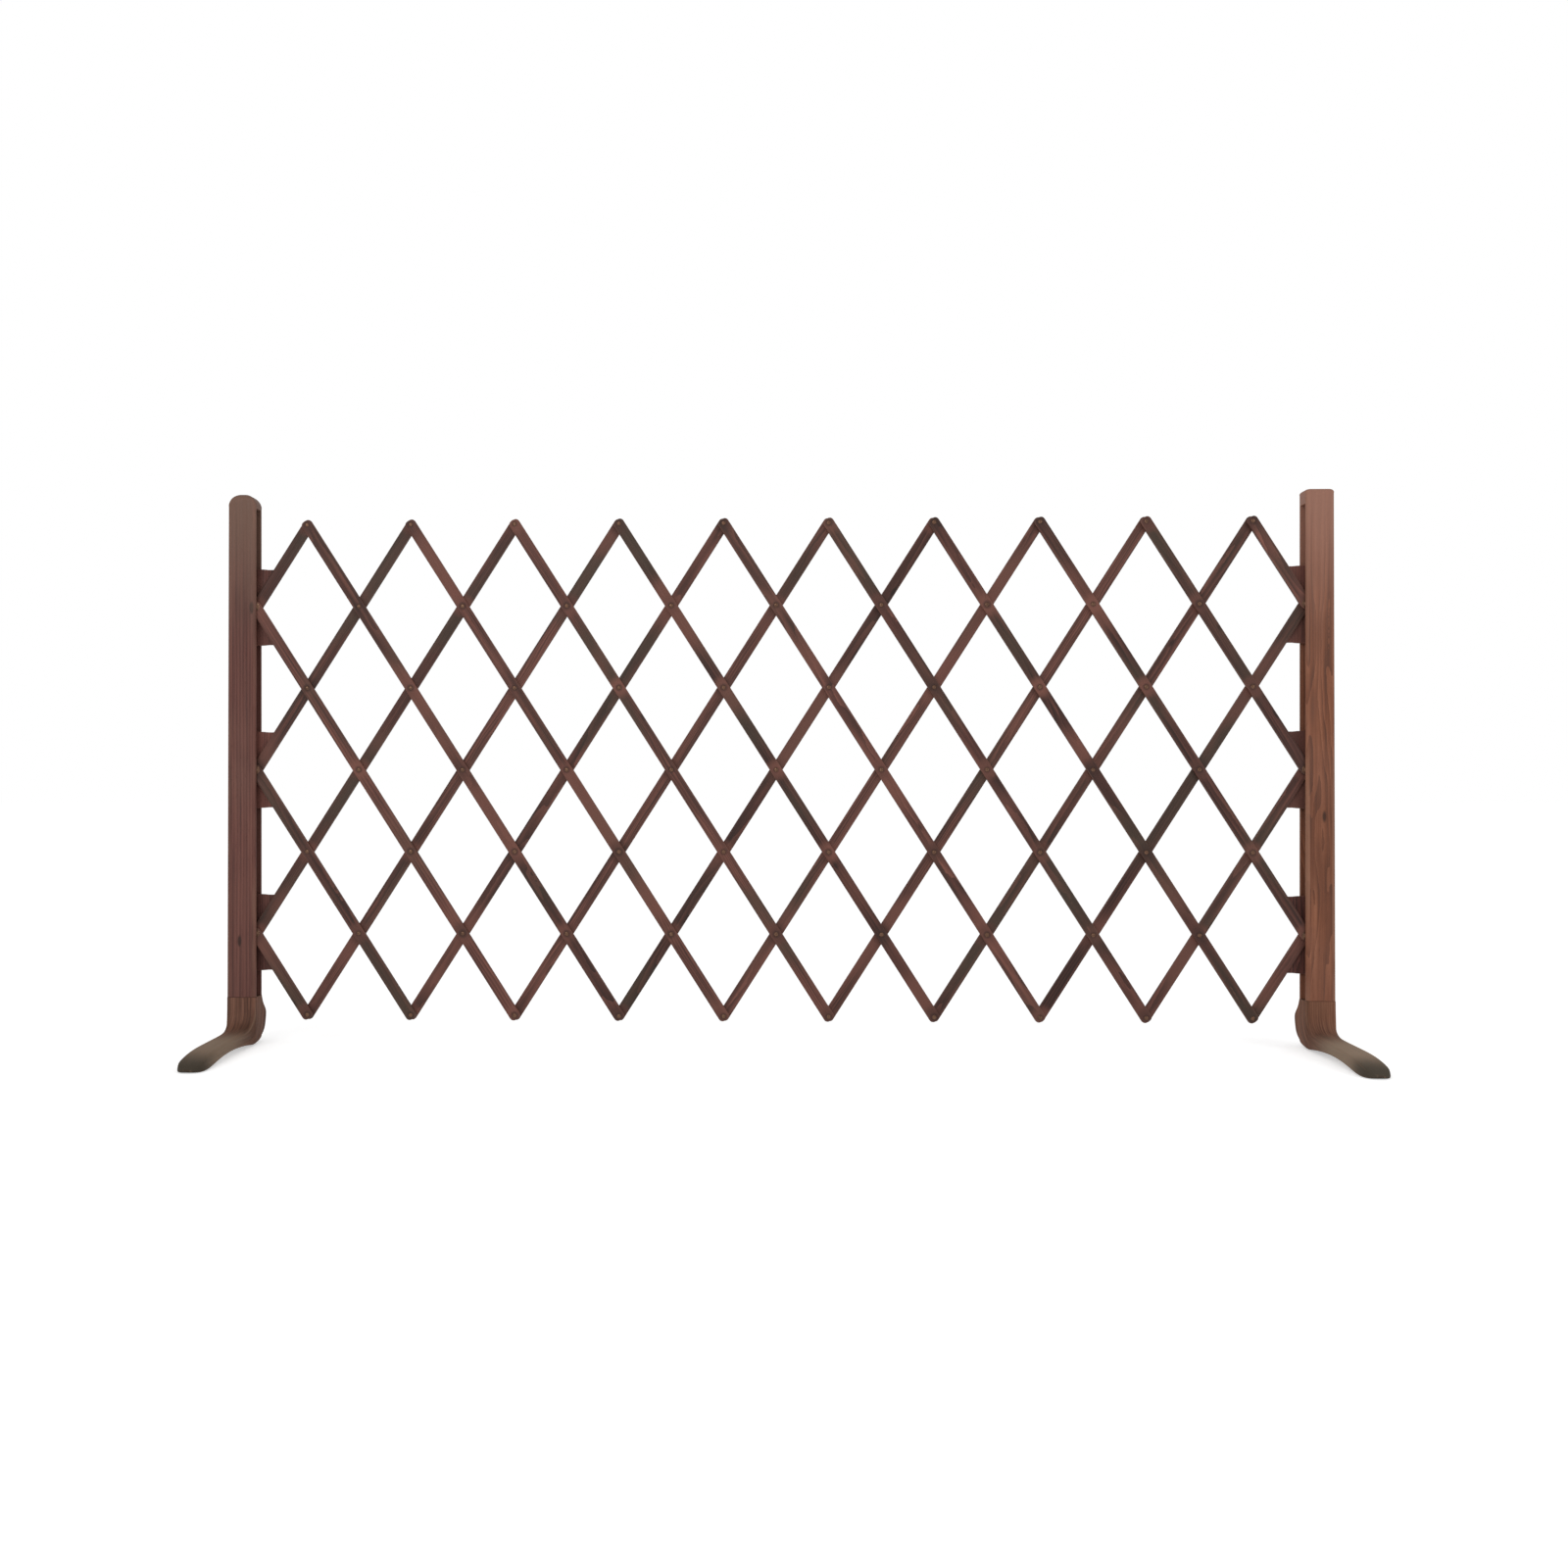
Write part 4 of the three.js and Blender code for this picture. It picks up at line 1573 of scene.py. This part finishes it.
@dataclass
class Studio:
    """A pale floor, soft light and the camera."""

    eye: Triple = (-0.0235, -2.5423, 0.4338)
    turn: float = 1.599
    lens: float = 37.217
    sensor: float = 36
    shift: tuple[float, float] = (0.0431, -0.0016)
    fill: float = 0.66
    glow: float = 0.47
    paper: Triple = (0.82, 0.82, 0.82)
    floor_size: float = 60

    def build(self) -> None:
        """Builds the studio."""
        self.build_floor()
        self.build_world()
        self.add_lamp("key", (-1.3, -3.6, 2.0), (0, 0.1, 0.45), 2.2, 44)
        self.add_lamp("side", (3.0, -2.4, 1.6), (0, 0.1, 0.4), 1.8, 20)
        self.build_camera()
        bpy.context.scene.view_settings.view_transform = "Standard"

    def build_floor(self) -> None:
        """Lays a white floor that keeps the fence's shadow."""
        bpy.ops.object.select_all(action="DESELECT")
        bpy.ops.mesh.primitive_plane_add(size=self.floor_size, location=(0, 0, 0))
        floor = bpy.context.active_object
        floor.name = "floor"
        material, desk = new_material("floor_paper")
        path = desk.node("LightPath").outputs
        seen = desk.sum("MAXIMUM", path["Is Camera Ray"], path["Is Glossy Ray"])
        matt = desk.node("BsdfDiffuse", {"Color": self.paper}).outputs[0]
        glow = desk.node("Emission", {"Strength": desk.times(seen, self.glow)}).outputs[0]
        desk.node("OutputMaterial", {0: desk.result("AddShader", matt, glow)})
        floor.data.materials.append(material)

    def build_world(self) -> None:
        """Fills the air with soft light behind a white background."""
        world = bpy.data.worlds.new("air")
        bpy.context.scene.world = world
        world.use_nodes = True
        desk = Desk(world.node_tree)
        path = desk.node("LightPath").outputs
        shown = desk.sum("MAXIMUM", path["Is Camera Ray"], path["Is Transmission Ray"])
        strength = desk.range(shown, 0, 1, self.fill, 1)
        air = desk.node("Background", {"Color": (1, 1, 1), "Strength": strength}).outputs[0]
        desk.node("OutputWorld", {0: air})

    def add_lamp(self, name: str, place: Triple, target: Triple, size: float, power: float) -> None:
        """Hangs a soft square lamp.

        Args:
            name: Its name.
            place: Where it hangs.
            target: What it looks at.
            size: The length of its side.
            power: Its power in watts.
        """
        lamp = bpy.data.lights.new(name, "AREA")
        lamp.shape, lamp.size, lamp.energy = "SQUARE", size, power
        holder = bpy.data.objects.new(name, lamp)
        holder.location = place
        holder.rotation_euler = (Vector(target) - Vector(place)).to_track_quat("-Z", "Y").to_euler()
        bpy.context.collection.objects.link(holder)

    def build_camera(self) -> None:
        """Sets up the camera at the photograph's place."""
        eye = bpy.data.cameras.new("eye")
        eye.sensor_width, eye.lens = self.sensor, self.lens
        eye.shift_x, eye.shift_y = self.shift
        eye.clip_start, eye.clip_end = 0.05, 100
        holder = bpy.data.objects.new("eye", eye)
        holder.location = self.eye
        holder.rotation_euler = (math.pi / 2, 0, math.radians(self.turn))
        bpy.context.collection.objects.link(holder)
        bpy.context.scene.camera = holder


def main() -> None:
    """Builds the fence and the studio."""
    logging.basicConfig(level=logging.INFO, format="%(name)s: %(message)s")
    grid = Grid()
    finishes = Finishes(grid.pitch)
    shelf = random.Random(SEED)
    Lattice(grid, finishes, shelf).build()
    for side in Side:
        Post(grid, finishes, shelf, side).build()
    Studio().build()


if __name__ == "__main__":
    main()
